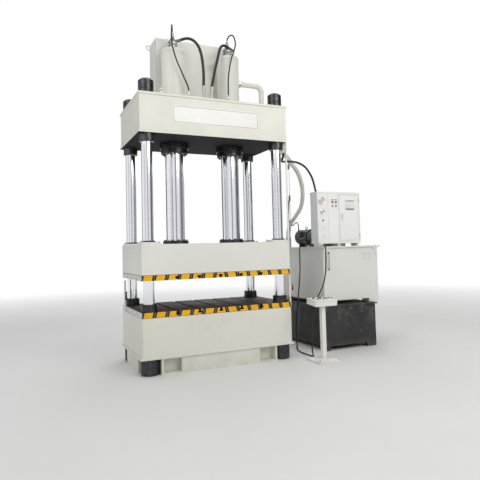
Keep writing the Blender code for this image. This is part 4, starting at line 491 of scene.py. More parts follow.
def rail_finish():
    """White guide rail with dark limit switches and its clamps fused on it."""
    finish = Finish("rail_enamel")
    switch = finish.above(finish.x, RAIL[0] + 0.0146)
    paint = enamel_colour(finish, tone(236, 236, 232), 0.4)
    finish.set("Base Color", finish.mix(switch, paint, tone(30, 31, 33)))
    finish.set("Roughness", finish.between(0.34, 0.5, 9))
    return finish.bump((finish.noise(500, 2), 0.0001), edge=0.002)


def glass_finish():
    """Clear dial glass with a breath of dust."""
    finish = Finish("dial_glass", Transmission_Weight=1.0, IOR=1.45, Base_Color=(1, 1, 1, 1))
    finish.set("Roughness", finish.span(finish.noise(60, 4), 0.4, 0.8, 0.02, 0.1))
    return finish


FINISHES = {
    "cream": enamel("cream_enamel", CREAM, low=0.3), "crown": crown_finish(), "slide": slide_finish(),
    "bolster": table_finish("bolster_steel", BED_TOP, TABLE_TOP, False),
    "platen": table_finish("slide_plate_steel", SLIDE_BOTTOM, SLIDE_BOX_BOTTOM, True),
    "column": column_finish(), "ram": ram_finish(), "oxide": oxide_finish(),
    # Barrel enamel is the cream made a little darker: painted shade.
    "barrel": enamel("barrel_enamel", tone(219, 218, 209)),
    "tank": enamel("tank_enamel", tone(222, 222, 214)), "elbow": elbow_finish(),
    "valve": steel("valve_steel", tone(112, 113, 113), 0.42, 0.8),
    "zinc": steel("zinc_plate", tone(196, 197, 194), 0.3), "brass": steel("brass", tone(196, 158, 84), 0.28),
    "dark_steel": steel("dark_steel", tone(78, 78, 79), 0.4, 0.9),
    "rail": rail_finish(), "charcoal": charcoal_finish(),
    "oil_tank": enamel("oil_tank_enamel", tone(226, 226, 220), grime=0.6),
    "cabinet": enamel("cabinet_enamel", WHITE, grime=0.25, edge=0.003),
    "door": enamel("door_enamel", WHITE, grime=0.2, edge=0.002),
    "handle": plastic("handle_plastic", tone(224, 226, 225)),
    "stand": enamel("stand_enamel", tone(232, 231, 224), grime=0.25, low=0.1, edge=0.002),
    "cast_iron": steel("cast_iron", tone(96, 98, 98), 0.55, 0.35, grain=0.0003),
    "motor": enamel("motor_enamel", tone(58, 63, 66), grime=0.6, edge=0.002),
    "manifold": steel("manifold_steel", tone(120, 121, 122), 0.38, 0.85),
    "gauge": enamel("gauge_enamel", tone(232, 232, 228), grime=0.2, edge=0.001),
    "black": plastic("black_plastic", tone(24, 25, 27)), "red": cap("red_plastic", 158, 24, 26),
    "green": cap("green_plastic", 34, 116, 82), "olive": cap("olive_plastic", 66, 64, 50),
    "grey": cap("grey_plastic", 138, 138, 132), "rubber": rubber_finish("hose_rubber", 22, 22, 23),
    "cable": rubber_finish("cable_sheath", 17, 17, 18), "milky": milky_finish(), "glass": glass_finish(),
    "plate": enamel("bare_plate", tone(232, 231, 226), gloss=0.32, grime=0.12, edge=0.0008),
    "outline": plastic("plate_outline", tone(166, 167, 166)),
}

# The finish of each node, by its name without left, right, front or rear
NODE_FINISHES = {
    "bed_frame": "cream", "bolster_plate": "bolster", "crown_frame": "crown", "brass_port": "brass",
    "slide_frame": "slide", "slide_plate": "platen", "prefill_tank": "tank", "elbow_pipe": "elbow",
    "limit_rail": "rail", "lower_tank": "charcoal", "oil_tank": "oil_tank", "filler_breather": "dark_steel",
    "level_gauge": "gauge", "cabinet": "cabinet", "cabinet_door": "door", "door_handle": "handle",
    "hydraulic_pump": "cast_iron", "pump_motor": "motor", "valve_manifold": "manifold",
    "operator_stand": "stand", "mode_selector": "black", "start_button": "green", "emergency_stop": "red",
    "reset_button": "olive", "lamp_test_button": "olive", "return_button": "green", "jog_button": "grey",
    "cabinet_button": "red",
    "column": "column", "top_nut": "oxide", "bed_nut": "oxide", "cylinder_barrel": "barrel",
    "gland_flange": "oxide", "ram": "ram", "ram_flange": "oxide", "prefill_valve": "valve",
}
for node, made in NODES.items():
    kind = re.sub(r"(_front|_rear)?(_left|_right)?$", "", node)
    if kind in NODE_FINISHES:
        made.data.materials.clear()
        made.data.materials.append(FINISHES[NODE_FINISHES[kind]].material)


# Forms that the pieces are made of

HERE = Matrix.Identity(4)


def at(*place):
    return Matrix.Translation(place)


def along(start, direction):
    """Placement whose Z axis starts at a point and runs along a direction."""
    return at(*start) @ Vector(direction).normalized().to_track_quat("Z", "Y").to_matrix().to_4x4()


def front(x, y, z):
    """Placement on a front face: X to the right, Y up, Z towards the operator."""
    return Matrix(((1, 0, 0, x), (0, 0, -1, y), (0, 1, 0, z), (0, 0, 0, 1)))


def around(count, radius, place=HERE, start=0.0, outward=False):
    """Placements on a circle; outward ones point away from its middle."""
    for k in range(count):
        angle = math.radians(start + 360 * k / count)
        spot = (radius * math.cos(angle), radius * math.sin(angle), 0)
        yield place @ (along(spot, spot) if outward else at(*spot))


def hoop(count, radius, place):
    """Points of a circle."""
    return [spot.translation for spot in around(count, radius, place)]


def corners(half_x, half_y, place=HERE, z=0.0):
    """Placements at the four corners of a rectangle."""
    return [place @ at(x, y, z) for x in (-half_x, half_x) for y in (-half_y, half_y)]


def loop(half_x, half_y, z, centre=(0, 0)):
    """Corners of a level rectangle, in turn."""
    turns = ((-1, -1), (1, -1), (1, 1), (-1, 1))
    return [Vector((centre[0] + x * half_x, centre[1] + y * half_y, z)) for x, y in turns]


def rounded(width, height, radius):
    """Outline of a rounded rectangle about the origin, in the plane of a panel."""
    found = []
    for cx, cy, start in ((1, 1, 0), (-1, 1, 90), (-1, -1, 180), (1, -1, 270)):
        for k in range(CORNER_STEPS + 1):
            angle = math.radians(start + 90 * k / CORNER_STEPS)
            found.append((cx * (width / 2 - radius) + radius * math.cos(angle),
                          cy * (height / 2 - radius) + radius * math.sin(angle)))
    return found


def even(points, spacing):
    """The same line at even steps."""
    points = [Vector(p) for p in points]
    lengths = [0.0]
    for first, second in zip(points, points[1:]):
        lengths.append(lengths[-1] + (second - first).length)
    count = max(2, round(lengths[-1] / spacing))
    found, index = [], 0
    for k in range(count + 1):
        target = lengths[-1] * k / count
        while index < len(points) - 2 and lengths[index + 1] < target:
            index += 1
        share = (target - lengths[index]) / (lengths[index + 1] - lengths[index])
        found.append(points[index].lerp(points[index + 1], share))
    return found


class Piece:
    """One piece of the scene, gathered from turned, boxed and swept forms in the row frame."""

    def __init__(self, name, body, *finishes, slot=None):
        self.name, self.body, self.finishes, self.slot = name, body, finishes, slot
        self.mesh = bmesh.new()

    def add(self, verts, faces, finish=0):
        made = [self.mesh.verts.new(v) for v in verts]
        for face in faces:
            self.mesh.faces.new([made[i] for i in face]).material_index = finish

    def box(self, low, high, place=HERE, edge=0.0, finish=0):
        """A box with rounded edges."""
        part = bmesh.new()
        bmesh.ops.create_cube(part, size=1.0)
        for vert in part.verts:
            vert.co = [a + (share + 0.5) * (b - a) for share, a, b in zip(vert.co, low, high)]
        if edge:
            bmesh.ops.bevel(part, geom=part.edges[:], offset=edge, segments=2, affect="EDGES", profile=0.6)
        part.verts.index_update()
        self.add([place @ v.co for v in part.verts], [[v.index for v in f.verts] for f in part.faces], finish)
        part.free()

    def turned(self, profile, sides=24, place=HERE, finish=0):
        """A form turned about its Z axis; the profile runs from one end to the other as (radius, height)."""
        verts, rings, faces = [], [], []
        closed = profile[0] == profile[-1]
        for radius, height in profile[:-1] if closed else profile:
            count = sides if radius > 1e-6 else 1
            rings.append(list(range(len(verts), len(verts) + count)))
            for k in range(count):
                angle = 2 * math.pi * k / sides
                verts.append(place @ Vector((radius * math.cos(angle), radius * math.sin(angle), height)))
        for low, high in zip(rings, rings[1:] + (rings[:1] if closed else [])):
            for k in range(sides if len(low) + len(high) > 2 else 0):
                after = (k + 1) % sides
                if len(low) == 1:
                    faces.append([low[0], high[after], high[k]])
                elif len(high) == 1:
                    faces.append([low[k], low[after], high[0]])
                else:
                    faces.append([low[k], low[after], high[after], high[k]])
        self.add(verts, faces, finish)

    def disc(self, radius, low, high, sides, place=HERE, finish=0):
        self.turned([(0, low), (radius, low), (radius, high), (0, high)], sides, place, finish)

    def knob(self, radius, shoulder, top, height, sides, place, finish=0, middle=None):
        """A round head: its radius, height of its shoulder, radius and height of its top, middle's height."""
        foot = [(0, 0), (radius, 0)] + ([(radius, shoulder)] if shoulder else [])
        self.turned(foot + [(top, height), (0, middle or height)], sides, place, finish)

    def cover(self, radius, circle, count, across, height, sides, place):
        """A round cover with an eased rim and a circle of bolts."""
        self.knob(radius, 0.009, radius - 0.004, 0.012, sides, place)
        for spot in around(count, circle, place @ at(0, 0, 0.0118)):
            self.hexagon(across, height, spot, 1)

    def border(self, inner, outer, reach, low, high, place=HERE, edge=0.0, finish=0):
        """Bars along a rectangle's sides: half sizes inside and outside, and half lengths of the bars."""
        for way in (-1, 1):
            (left, right), (near, back) = (sorted((way * a, way * b)) for a, b in zip(inner, outer))
            self.box((-reach[0], near, low), (reach[0], back, high), place, edge, finish)
            self.box((left, -reach[1], low), (right, reach[1], high), place, edge, finish)

    def joint_line(self, z):
        """A thin dark line round the press where two plates meet."""
        half = (HALF_WIDTH, HALF_DEPTH)
        self.border(half, [side + JOINT_LINE for side in half], half, z - 0.001, z + 0.001, finish=1)

    def ring(self, inner, outer, low, high, place=HERE, sides=32, edge=0.001, finish=0):
        """A flat ring with eased edges."""
        self.turned([(inner, low), (outer - edge, low), (outer, low + edge), (outer, high - edge),
                     (outer - edge, high), (inner + edge, high), (inner, high - edge), (inner, low)],
                    sides, place, finish)

    def hexagon(self, across, height, place, finish=0):
        """A hexagon bolt head, chamfered on top."""
        radius = across / math.sqrt(3)
        self.knob(radius, height * 0.8, radius * 0.86, height, 6, place, finish)

    def cap_screw(self, radius, height, place, finish=0):
        """A socket cap screw head with its recess."""
        self.turned([(0, 0), (radius, 0), (radius, height * 0.85), (radius * 0.88, height),
                     (radius * 0.56, height), (radius * 0.5, height * 0.5), (0, height * 0.5)],
                    14, place, finish)

    def panel(self, outline, low, high, place, finish=0, edge=0.0):
        """A flat plate with that outline, standing from low to high on its placement's Z axis."""
        layers = [(low, 0.0), (high - edge, 0.0), (high, edge)] if edge else [(low, 0.0), (high, 0.0)]
        verts, count = [], len(outline)
        for height, inset in layers:
            for x, y in outline:
                share = 1 - inset / math.hypot(x, y)
                verts.append(place @ Vector((x * share, y * share, height)))
        faces = []
        for layer in range(len(layers) - 1):
            for k in range(count):
                a, b = layer * count + k, layer * count + (k + 1) % count
                faces.append([a, b, b + count, a + count])
        faces += [list(range(count))[::-1], list(range(len(verts) - count, len(verts)))]
        self.add(verts, faces, finish)

    def frame_line(self, outline, thickness, middle, place, finish=1):
        """A thin raised line round an outline."""
        line = [place @ Vector((x, y, middle)) for x, y in outline]
        self.swept(line, thickness / 2, 6, finish, closed=True)

    def swept(self, points, radius, sides=16, finish=0, closed=False, reach=None):
        """A tube along points; reach, where given, is the radius at a distance and an angle."""
        points = [Vector(p) for p in points]
        count = len(points)
        near = [(k - 1, (k + 1) % count) if closed else (max(k - 1, 0), min(k + 1, count - 1))
                for k in range(count)]
        tangents = [(points[after] - points[before]).normalized() for before, after in near]
        side = tangents[0].orthogonal().normalized()
        verts, faces, distance = [], [], 0.0
        for k, point in enumerate(points):
            if k:
                side = (side - tangents[k] * side.dot(tangents[k])).normalized()
                distance += (point - points[k - 1]).length
            other = tangents[k].cross(side)
            for s in range(sides):
                angle = 2 * math.pi * s / sides
                now = reach(distance, angle) if reach else radius
                verts.append(point + side * (now * math.cos(angle)) + other * (now * math.sin(angle)))
        for k in range(count if closed else count - 1):
            low, high = k * sides, ((k + 1) % count) * sides
            for s in range(sides):
                after = (s + 1) % sides
                faces.append([low + s, low + after, high + after, high + s])
        if not closed:
            faces += [list(range(sides))[::-1], [(count - 1) * sides + s for s in range(sides)]]
        self.add(verts, faces, finish)

    def bead(self, points, radius, closed=False, seed=1, finish=0):
        """A weld bead: a rippled half-sunk tube along a seam."""
        line = even(points + ([points[0]] if closed else []), BEAD_STEP)
        rng = random.Random(seed)
        swell = [rng.uniform(0.80, 1.12) for _ in range(len(line) + 1)]
        self.swept(line, radius, 5, finish,
                   reach=lambda d, a: radius * swell[min(int(d / BEAD_STEP), len(line))])

    def corner_beads(self, half_x, half_y, low, high, seed, centre=(0, 0), radius=0.003):
        """Weld beads up the four corners of a box."""
        for x, y, _ in loop(half_x - BEAD_INSET, half_y - BEAD_INSET, 0, centre):
            self.bead([(x, y, low), (x, y, high)], radius, seed=seed)

    def built(self, smooth=SMOOTH_ANGLE):
        mesh = bpy.data.meshes.new(self.name)
        bmesh.ops.recalc_face_normals(self.mesh, faces=self.mesh.faces[:])
        for face in self.mesh.faces:
            face.smooth = True
        for edge in self.mesh.edges:
            edge.smooth = len(edge.link_faces) == 2 and edge.calc_face_angle(0.0) < smooth
        self.mesh.to_mesh(mesh)
        self.mesh.free()
        for key in self.finishes:
            mesh.materials.append(FINISHES[key].material)
        made = linked(self.name, mesh)
        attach(made, self.body)
        return made


def linked(name, data):
    """A new object in the scene."""
    made = bpy.data.objects.new(name, data)
    bpy.context.scene.collection.objects.link(made)
    return made


# Camera

def make_camera():
    yaw, pitch, roll = CAMERA_YAW, CAMERA_PITCH, CAMERA_ROLL
    forward = Vector((math.sin(yaw) * math.cos(pitch), math.cos(yaw) * math.cos(pitch), math.sin(pitch)))
    level = Vector((math.cos(yaw), -math.sin(yaw), 0))
    upright = level.cross(forward)
    right = math.cos(roll) * level + math.sin(roll) * upright
    up = math.cos(roll) * upright - math.sin(roll) * level
    lens = bpy.data.cameras.new("photo_camera")
    lens.lens, lens.sensor_width = CAMERA_LENS, CAMERA_SENSOR
    lens.shift_x, lens.shift_y = CAMERA_SHIFT
    lens.clip_end = CAMERA_REACH
    camera = linked("photo_camera", lens)
    camera.matrix_world = at(*CAMERA_PLACE) @ Matrix((right, up, -forward)).transposed().to_4x4()
    bpy.context.scene.camera = camera


# Cords

def smooth_route(route):
    """The hose's line: straight in both fittings, a smooth curve through the points between."""
    knots = [Vector(p) for p in route]
    knots = [2 * knots[0] - knots[1]] + knots + [2 * knots[-1] - knots[-2]]
    dense = []
    for k in range(1, len(knots) - 2):
        a, b, c, d = knots[k - 1:k + 3]
        for step in range(CORD_SAMPLES):
            t = step / CORD_SAMPLES
            dense.append(0.5 * (2 * b + (c - a) * t + (2 * a - 5 * b + 4 * c - d) * t * t
                                + (3 * b - a - 3 * c + d) * t ** 3))
    dense.append(knots[-2])
    return [Vector(route[0])] + dense[CORD_SAMPLES:-CORD_SAMPLES] + [Vector(route[-1])]


def length_of(points):
    return sum((b - a).length for a, b in zip(points, points[1:]))


def make_hose(node, radius, finish):
    """A hose or cable as a round curve on the solid model's own line."""
    line = smooth_route(ROUTES[node])
    points = [line[0]] + even(line[1:-1], HOSE_STEP) + [line[-1]]
    curve = bpy.data.curves.new(f"{node}_cover", "CURVE")
    curve.dimensions = "3D"
    curve.bevel_depth, curve.bevel_resolution, curve.use_fill_caps = radius, 6, True
    spline = curve.splines.new("POLY")
    spline.points.add(len(points) - 1)
    for knot, point in zip(spline.points, points):
        knot.co = (*point, 1.0)
    spline.use_smooth = True
    curve.materials.append(FINISHES[finish].material)
    hose = linked(f"{node}_cover", curve)
    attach(hose, "frame")
    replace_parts(hose, node)
    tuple(points[0])
    length_of(points)


def make_swept_hose(node, radius, finish, reach, sides):
    """A ribbed or wrapped hose as a mesh tube on the solid model's own line."""
    line = smooth_route(ROUTES[node])
    points = even(line, RIB_STEP)
    piece = Piece(f"{node}_cover", "frame", finish)
    piece.swept(points, radius, sides, reach=reach)
    hose = piece.built(RIB_ANGLE)
    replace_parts(hose, node)
    length_of(points)
    even(line, PATH_STEP)


def sleeve(name, node, end, sides, finish, profile, slot=None):
    """A turned piece on one end of a hose, its Z axis running along the hose."""
    route = ROUTES[node][::-1] if end else ROUTES[node]
    place = along(route[0], Vector(route[1]) - Vector(route[0]))
    piece = Piece(name, "frame", finish, slot=slot)
    piece.turned(profile, sides, place)
    return piece, place


def hose_end(name, node, end, radius, length, nut=True):
    """A crimped sleeve with its hexagon nut over one end of a hose."""
    inner, outer = radius * 0.96, radius * 1.22
    profile = [(inner, 0)]
    for k in range(6):
        low, high = length * k / 6, length * (k + 1) / 6
        profile += [(outer, low + 0.001), (outer, high - length * 0.05), (outer * 0.94, high - length * 0.02)]
    profile += [(radius * 1.01, length), (inner, length)]
    piece, place = sleeve(name, node, end, 20, "zinc", profile)
    if nut:
        corner = radius * 3 / math.sqrt(3)
        piece.turned([(radius * 0.9, -length * 0.05), (corner, -length * 0.04), (corner, length * 0.16),
                      (radius * 1.2, length * 0.2)], 6, place)
    return piece.built()


def relief(name, node, end, radius):
    """The tapered sleeve where a cable leaves its gland."""
    length = 0.034
    profile = [(radius * 0.98, 0), (radius * 1.55, 0)]
    for k in range(6):
        low, high = length * (0.1 + 0.14 * k), length * (0.1 + 0.14 * (k + 1))
        wide = radius * (1.55 - 0.06 * (k + 1))
        profile += [(wide, low), (wide, high - length * 0.05), (wide * 0.94, high - length * 0.04)]
    profile += [(radius * 1.06, length), (radius * 0.98, length)]
    return sleeve(name, node, end, 18, "black", profile, slot="black_plastic")[0].built()


def make_cords():
    thin, thick = 0.0105, 0.021
    for node in ("thin_hose_left", "thin_hose_right"):
        ends = [hose_end(f"{node}_top_ferrule", node, 0, thin, 0.045),
                hose_end(f"{node}_foot_ferrule", node, 1, thin, 0.05)]
        make_hose(node, thin, "rubber")
    ends = [hose_end("thick_hose_left_foot_ferrule", "thick_hose_left", 1, thick, 0.06, nut=False)]
    make_hose("thick_hose_left", thick, "rubber")
    ends = [hose_end("thick_hose_right_foot_ferrule", "thick_hose_right", 1, thick, 0.06, nut=False)]
    make_swept_hose("thick_hose_right", thick, "rubber",
                    lambda d, a: thick * (0.955 + 0.045 * math.sin(a + 2 * math.pi * d / WRAP_PITCH)),
                    20)
    ends = [hose_end("pressure_hose_top_ferrule", "pressure_hose", 0, 0.017, 0.05, nut=False),
            hose_end("pressure_hose_foot_ferrule", "pressure_hose", 1, 0.017, 0.055)]
    make_hose("pressure_hose", 0.017, "rubber")
    ends = [hose_end(f"return_hose_{place}_clamp", "return_hose", end, 0.0385, 0.03, nut=False)
            for end, place in enumerate(("top", "foot"))]
    make_swept_hose("return_hose", 0.038, "milky",
                    lambda d, a: 0.0355 + 0.0025 * math.cos(2 * math.pi * d / RIB_PITCH), 24)
    for node, radius, lay in (("limit_switch_cable", 0.008, "hanging"), ("panel_cable", 0.01, "loose"),
                              ("floor_cable", 0.01, "loose")):
        ends = [relief(f"{node}_{place}_relief", node, end, radius)
                for end, place in enumerate(("start", "end"))]
        make_hose(node, radius, "cable")


# Press

def round_part(node, body, finish, place, profile, sides=64):
    """A turned part in finer facets, on the solid model's own profile."""
    piece = Piece(f"{node}_turned", body, finish)
    piece.turned(profile, sides, place)
    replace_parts(piece.built(), node)


def make_round_parts():
    foot, seat, end = BED_FLANGE_BOTTOM - TOUCH, CROWN_BOTTOM - TOUCH, 3.945
    column = [(0, 0.012), (0.116, 0.012), (0.12, 0.016), (0.12, foot), (0.075, foot), (0.075, seat - 0.11),
              (0.094, seat - 0.11), (0.104, seat - 0.1), (0.104, seat), (0.075, seat), (0.075, end - 0.006),
              (0.069, end), (0, end)]
    for key, (sx, sy) in CORNERS.items():
        place = at(sx * COLUMN_X, sy * COLUMN_Y, 0)
        round_part(f"column_{key}", "frame", "column", place, column, 48)
        for node, under, height in (("top_nut", CROWN_TOP, 0.185), ("bed_nut", TABLE_TOP, 0.102)):
            low, high = under + TOUCH, under + height
            round_part(f"{node}_{key}", "frame", "oxide", place, [
                (0.0753, low), (0.101, low), (0.104, low + 0.003), (0.104, low + 0.052),
                (0.1015, low + 0.0535), (0.1015, low + 0.0575), (0.104, low + 0.059),
                (0.104, high - 0.01), (0.094, high), (0.0753, high), (0.0753, low)], 48)
    low, high = SLIDE_TOP + TOUCH, SLIDE_TOP + 0.0523
    for side, sign in SIDES.items():
        place = at(sign * RAM_X, 0, 0)
        round_part(f"cylinder_barrel_{side}", "frame", "barrel", place, [
            (0, 4.56), (0.14, 4.56), (0.14, CROWN_BOTTOM), (0.175, CROWN_BOTTOM), (0.175, BARREL_TOP - 0.014),
            (0.171, BARREL_TOP - 0.004), (0.161, BARREL_TOP), (0, BARREL_TOP)])
        round_part(f"gland_flange_{side}", "frame", "oxide", place, [
            (0.1355, seat - 0.157), (0.188, seat - 0.157), (0.196, seat - 0.149), (0.196, seat - 0.085),
            (0.21, seat - 0.085), (0.212, seat - 0.083), (0.212, seat), (0.1355, seat),
            (0.1355, seat - 0.157)])
        round_part(f"ram_{side}", "slide", "ram", place, [
            (0, low), (0.135, low), (0.135, 3.55), (0.1395, 3.55), (0.1395, 3.7), (0, 3.7)])
        round_part(f"ram_flange_{side}", "slide", "oxide", place, [
            (0.1353, low), (0.18, low), (0.186, low + 0.006), (0.186, high - 0.006), (0.18, high),
            (0.1353, high), (0.1353, low)])


def make_name_plate():
    """The bare white plate on the crown with its thin outline."""
    place = front(0, -HALF_DEPTH - 0.0002, 3.4755)
    piece = Piece("name_plate", "frame", "plate", "outline", "zinc", slot="cream_paint")
    piece.panel(rounded(1.3, 0.257, 0.045), 0, 0.0025, place, 0, 0.0008)
    piece.frame_line(rounded(1.262, 0.219, 0.032), 0.007, 0.0021, place)
    for spot in corners(0.63, 0.106, place, 0.0024):
        piece.turned([(0.006, 0), (0.006, 0.002), (0.003, 0.0038), (0, 0.0042)], 14, spot, 2)
    piece.built()


def make_column_details():
    for sx, sy in ((-1, -1), (-1, 1), (1, -1), (1, 1)):
        key = f"{'left' if sx < 0 else 'right'}_{'front' if sy < 0 else 'rear'}"
        x, y = sx * COLUMN_X, sy * COLUMN_Y
        piece = Piece(f"nut_collars_{key}", "frame", "oxide", "dark_steel")
        piece.ring(0.0765, 0.1085, TABLE_TOP + 0.0003, TABLE_TOP + 0.026, at(x, y, 0), 40, 0.002)
        for z, outer, inner in ((0.878, 0.009, 0.0055), (3.84, 0.011, 0.006)):
            for spot in around(4, 0.1035, at(x, y, z), 45, outward=True):
                piece.turned([(outer, -0.002), (outer, 0.0012), (inner, 0.0012), (inner - 0.0005, -0.002),
                              (0, -0.002)], 12, spot, 1)
        piece.built()
        caps = Piece(f"guide_cap_screws_{key}", "slide", "zinc", "dark_steel")
        centre = at(sx * (HALF_WIDTH - 0.006 - 0.1325), sy * (HALF_DEPTH - 0.006 - 0.125), CAP_TOP)
        for spot in corners(0.105, 0.098, centre):
            caps.cap_screw(0.011, 0.01, spot)
        caps.ring(0.0765, 0.0935, CAP_TOP + 0.0174, CAP_TOP + 0.0195, at(x, y, 0), 36, 0.0006, 1)
        caps.built()


def make_cylinder_details():
    down = along((0, 0, 0), (0, 0, -1))
    for side, sign in SIDES.items():
        x = sign * RAM_X
        bolts = Piece(f"gland_bolts_{side}", "frame", "dark_steel", "oxide")
        for spot in around(12, 0.168, at(x, 0, 3.038), 15):
            bolts.cap_screw(0.0125, 0.016, spot @ down)
        for spot in around(16, 0.2105, at(x, 0, 3.16), 11.25, outward=True):
            bolts.hexagon(0.015, 0.007, spot, 1)
        bolts.built()
        foot = Piece(f"ram_flange_bolts_{side}", "slide", "dark_steel")
        for spot in around(10, 0.16, at(x, 0, 1.7622), 18):
            foot.cap_screw(0.0125, 0.015, spot)
        foot.built()
        head = Piece(f"barrel_head_{side}", "frame", "barrel", "zinc")
        head.bead(hoop(40, 0.1755, at(x, 0, CROWN_TOP + 0.003)), 0.006, True, seed=3)
        head.bead(hoop(40, 0.1755, at(x, 0, 4.548)), 0.0035, True, seed=4)
        for spot in around(8, 0.14, at(x, 0, BARREL_TOP - 0.0005), 22.5):
            head.hexagon(0.024, 0.013, spot, 1)
        head.built()


def make_press_seams():
    bed = Piece("bed_welds", "frame", "cream", "dark_steel")
    bed.bead(loop(HALF_WIDTH + 0.001, HALF_DEPTH + 0.001, BED_FLANGE_TOP + 0.001), 0.006, True, seed=11)
    bed.corner_beads(HALF_WIDTH, HALF_DEPTH, BED_FLANGE_TOP, BED_TOP - 0.01, 12)
    bed.bead([(x, -HALF_DEPTH - 0.0005, 0.0225) for x in (-0.575, 0.575)], 0.004, seed=13)
    bed.joint_line(BED_TOP)
    bed.built()
    crown = Piece("crown_welds", "frame", "cream")
    for z, seed in ((3.2262, 21), (3.7108, 22)):
        crown.bead(loop(HALF_WIDTH + 0.0005, HALF_DEPTH + 0.0005, z), 0.005, True, seed=seed)
    crown.corner_beads(HALF_WIDTH, HALF_DEPTH, 3.23, 3.708, 23)
    lug_x, lug_z = -0.7875, CROWN_TOP + 0.052
    for y, way in ((-0.6012, -1), (-0.5808, 1)):
        crown.ring(0.011, 0.015, 0, 0.0012, along((lug_x, y, lug_z), (0, way, 0)), 24, 0.0005)
    crown.bead([(x, -0.602, CROWN_TOP + 0.001) for x in (-0.811, -0.764)], 0.004, seed=24)
    crown.built()
    # A dark steel disc on each face of the lug's eye is painted shade in the hole.
    eye = Piece("crown_lug_eye", "frame", "dark_steel")
    for y, way in ((-0.601, -1), (-0.581, 1)):
        eye.disc(0.0112, 0.0002, 0.0006, 24, along((lug_x, y, lug_z), (0, way, 0)))
    eye.built()
    slide = Piece("slide_seams", "slide", "slide", "dark_steel")
    slide.corner_beads(HALF_WIDTH, HALF_DEPTH, SLIDE_BOX_BOTTOM + 0.01, SLIDE_TOP - 0.004, 31)
    slide.joint_line(SLIDE_BOX_BOTTOM)
    slide.built()
    for name, body, z in (("bolster", "frame", 0.787), ("slide_plate", "slide", 1.252)):
        holes = Piece(f"{name}_edge_holes", body, "dark_steel", "black")
        for way in (-1, 1):
            for y in (-0.348, -0.052, 0.245):
                place = along((way * (HALF_WIDTH + 0.0001), y, z), (way, 0, 0))
                holes.ring(0.0085, 0.0125, 0, 0.0009, place, 20, 0.0003)
                # A black disc inside each ring is painted shade in the hole.
                holes.disc(0.0086, 0.0002, 0.0005, 20, place, 1)
        holes.built()


def make_side_bar():
    """The pale guard bar on the table's left edge, with its sensor."""
    bar = Piece("side_bar", "frame", "gauge", "zinc", slot="white_paint")
    bar.box((-1.1235, 0.365, 0.752), (-1.1025, 0.425, 1.2), edge=0.002)
    for z in (0.77, 0.8):
        bar.cap_screw(0.006, 0.0005, along((-1.1233, 0.395, z), (-1, 0, 0)), 1)
    bar.box((-1.1026, 0.375, 0.756), (-1.1003, 0.415, 0.814), finish=1)
    bar.built()
    sensor = Piece("side_bar_sensor", "frame", "black", "zinc", slot="black_plastic")
    sensor.box((-1.122, 0.3, 0.915), (-1.101, 0.364, 1.035), edge=0.003)
    sensor.knob(0.009, 0.01, 0.006, 0.014, 16, at(-1.112, 0.332, 1.0345), 1)
    sensor.disc(0.01, 0, 0.0016, 20, front(-1.112, 0.3002, 1), 1)
    sensor.built()


def make_valve_details():
    for side, sign in SIDES.items():
        x = sign * RAM_X
        piece = Piece(f"prefill_valve_{side}_fittings", "frame", "zinc", "dark_steel", "plate")
        for spot in around(6, 0.076, at(x, 0, 4.6398), 30):
            piece.cap_screw(0.0075, 0.008, spot, 1)
        for spot in corners(0.044, 0.044, at(x, 0, 4.7498)):
            piece.cap_screw(0.0065, 0.007, spot, 1)
        for way in (-1, 1):
            if way * sign > 0 or sign > 0:
                place = along((x + way * 0.0573, 0.01 if way * sign < 0 else 0, 4.69), (way, 0, 0))
                piece.ring(0.01, 0.019, 0, 0.003, place, 24)
                piece.hexagon(0.026, 0.014, place)
        piece.hexagon(0.022, 0.01, front(x, -0.0573, 4.665))
        piece.panel(rounded(0.05, 0.024, 0.002), 0, 0.0008, front(x, -0.0576, 4.718), 2)
        piece.turned([(0.0365, 0), (0.039, 0.001), (0.039, 0.008), (0.0365, 0.009)], 32, at(x, 0, 4.752))
        place = at(x, 0, 4.83)
        piece.turned([(0.0203, 0), (0.029, 0.002), (0.029, 0.016), (0.0203, 0.019)], 6, place)
        piece.ring(0.0203, 0.0235, -0.01, -0.003, place, 24)
        piece.built()


def make_elbow_details():
    piece = Piece("elbow_details", "frame", "elbow", "dark_steel")
    end = HALF_WIDTH - 0.0775
    for spot in around(6, 0.061, at(end, 0, CROWN_TOP + 0.0218), 30):
        piece.hexagon(0.016, 0.009, spot, 1)
    up, across = (0, 0, 1), (1, 0, 0)
    for x, z, axis, radius, weld, seed in ((end, CROWN_TOP + 0.024, up, 0.043, 0.005, 41),
                                           (end, 4.13, up, 0.0425, 0.0035, 42),
                                           (end - 0.095, ELBOW_Z, across, 0.0425, 0.0035, 43),
                                           (RAM_X + 0.205, ELBOW_Z, across, 0.0435, 0.005, 44)):
        piece.bead(hoop(24, radius, along((x, 0, z), axis)), weld, True, seed=seed)
    piece.built()


def make_tank_details():
    piece = Piece("prefill_tank_details", "frame", "tank", "zinc", "dark_steel", slot="cream_paint")
    piece.corner_beads(0.65, 0.185, CROWN_TOP + 0.01, 4.85, 51, (0, PREFILL_Y))
    piece.bead(loop(0.651, 0.186, CROWN_TOP + 0.002, (0, PREFILL_Y)), 0.005, True, seed=52)
    piece.cover(0.15, 0.132, 12, 0.015, 0.008, 48, at(0.1, PREFILL_Y, PREFILL_TOP))
    piece.turned([(0, 0), (0.04, 0), (0.04, 0.008), (0.026, 0.008), (0.026, 0.03), (0.038, 0.03),
                  (0.038, 0.062), (0.033, 0.068), (0, 0.068)], 32, at(-0.42, PREFILL_Y, PREFILL_TOP), 2)
    piece.built()
    glass = Piece("prefill_tank_sight", "frame", "black", "glass", "gauge")
    glass.box((-0.014, 0.5603, 4.48), (0.014, 0.574, 4.78), edge=0.003)
    glass.box((-0.006, 0.5735, 4.51), (0.006, 0.577, 4.75), edge=0.001, finish=2)
    glass.built()


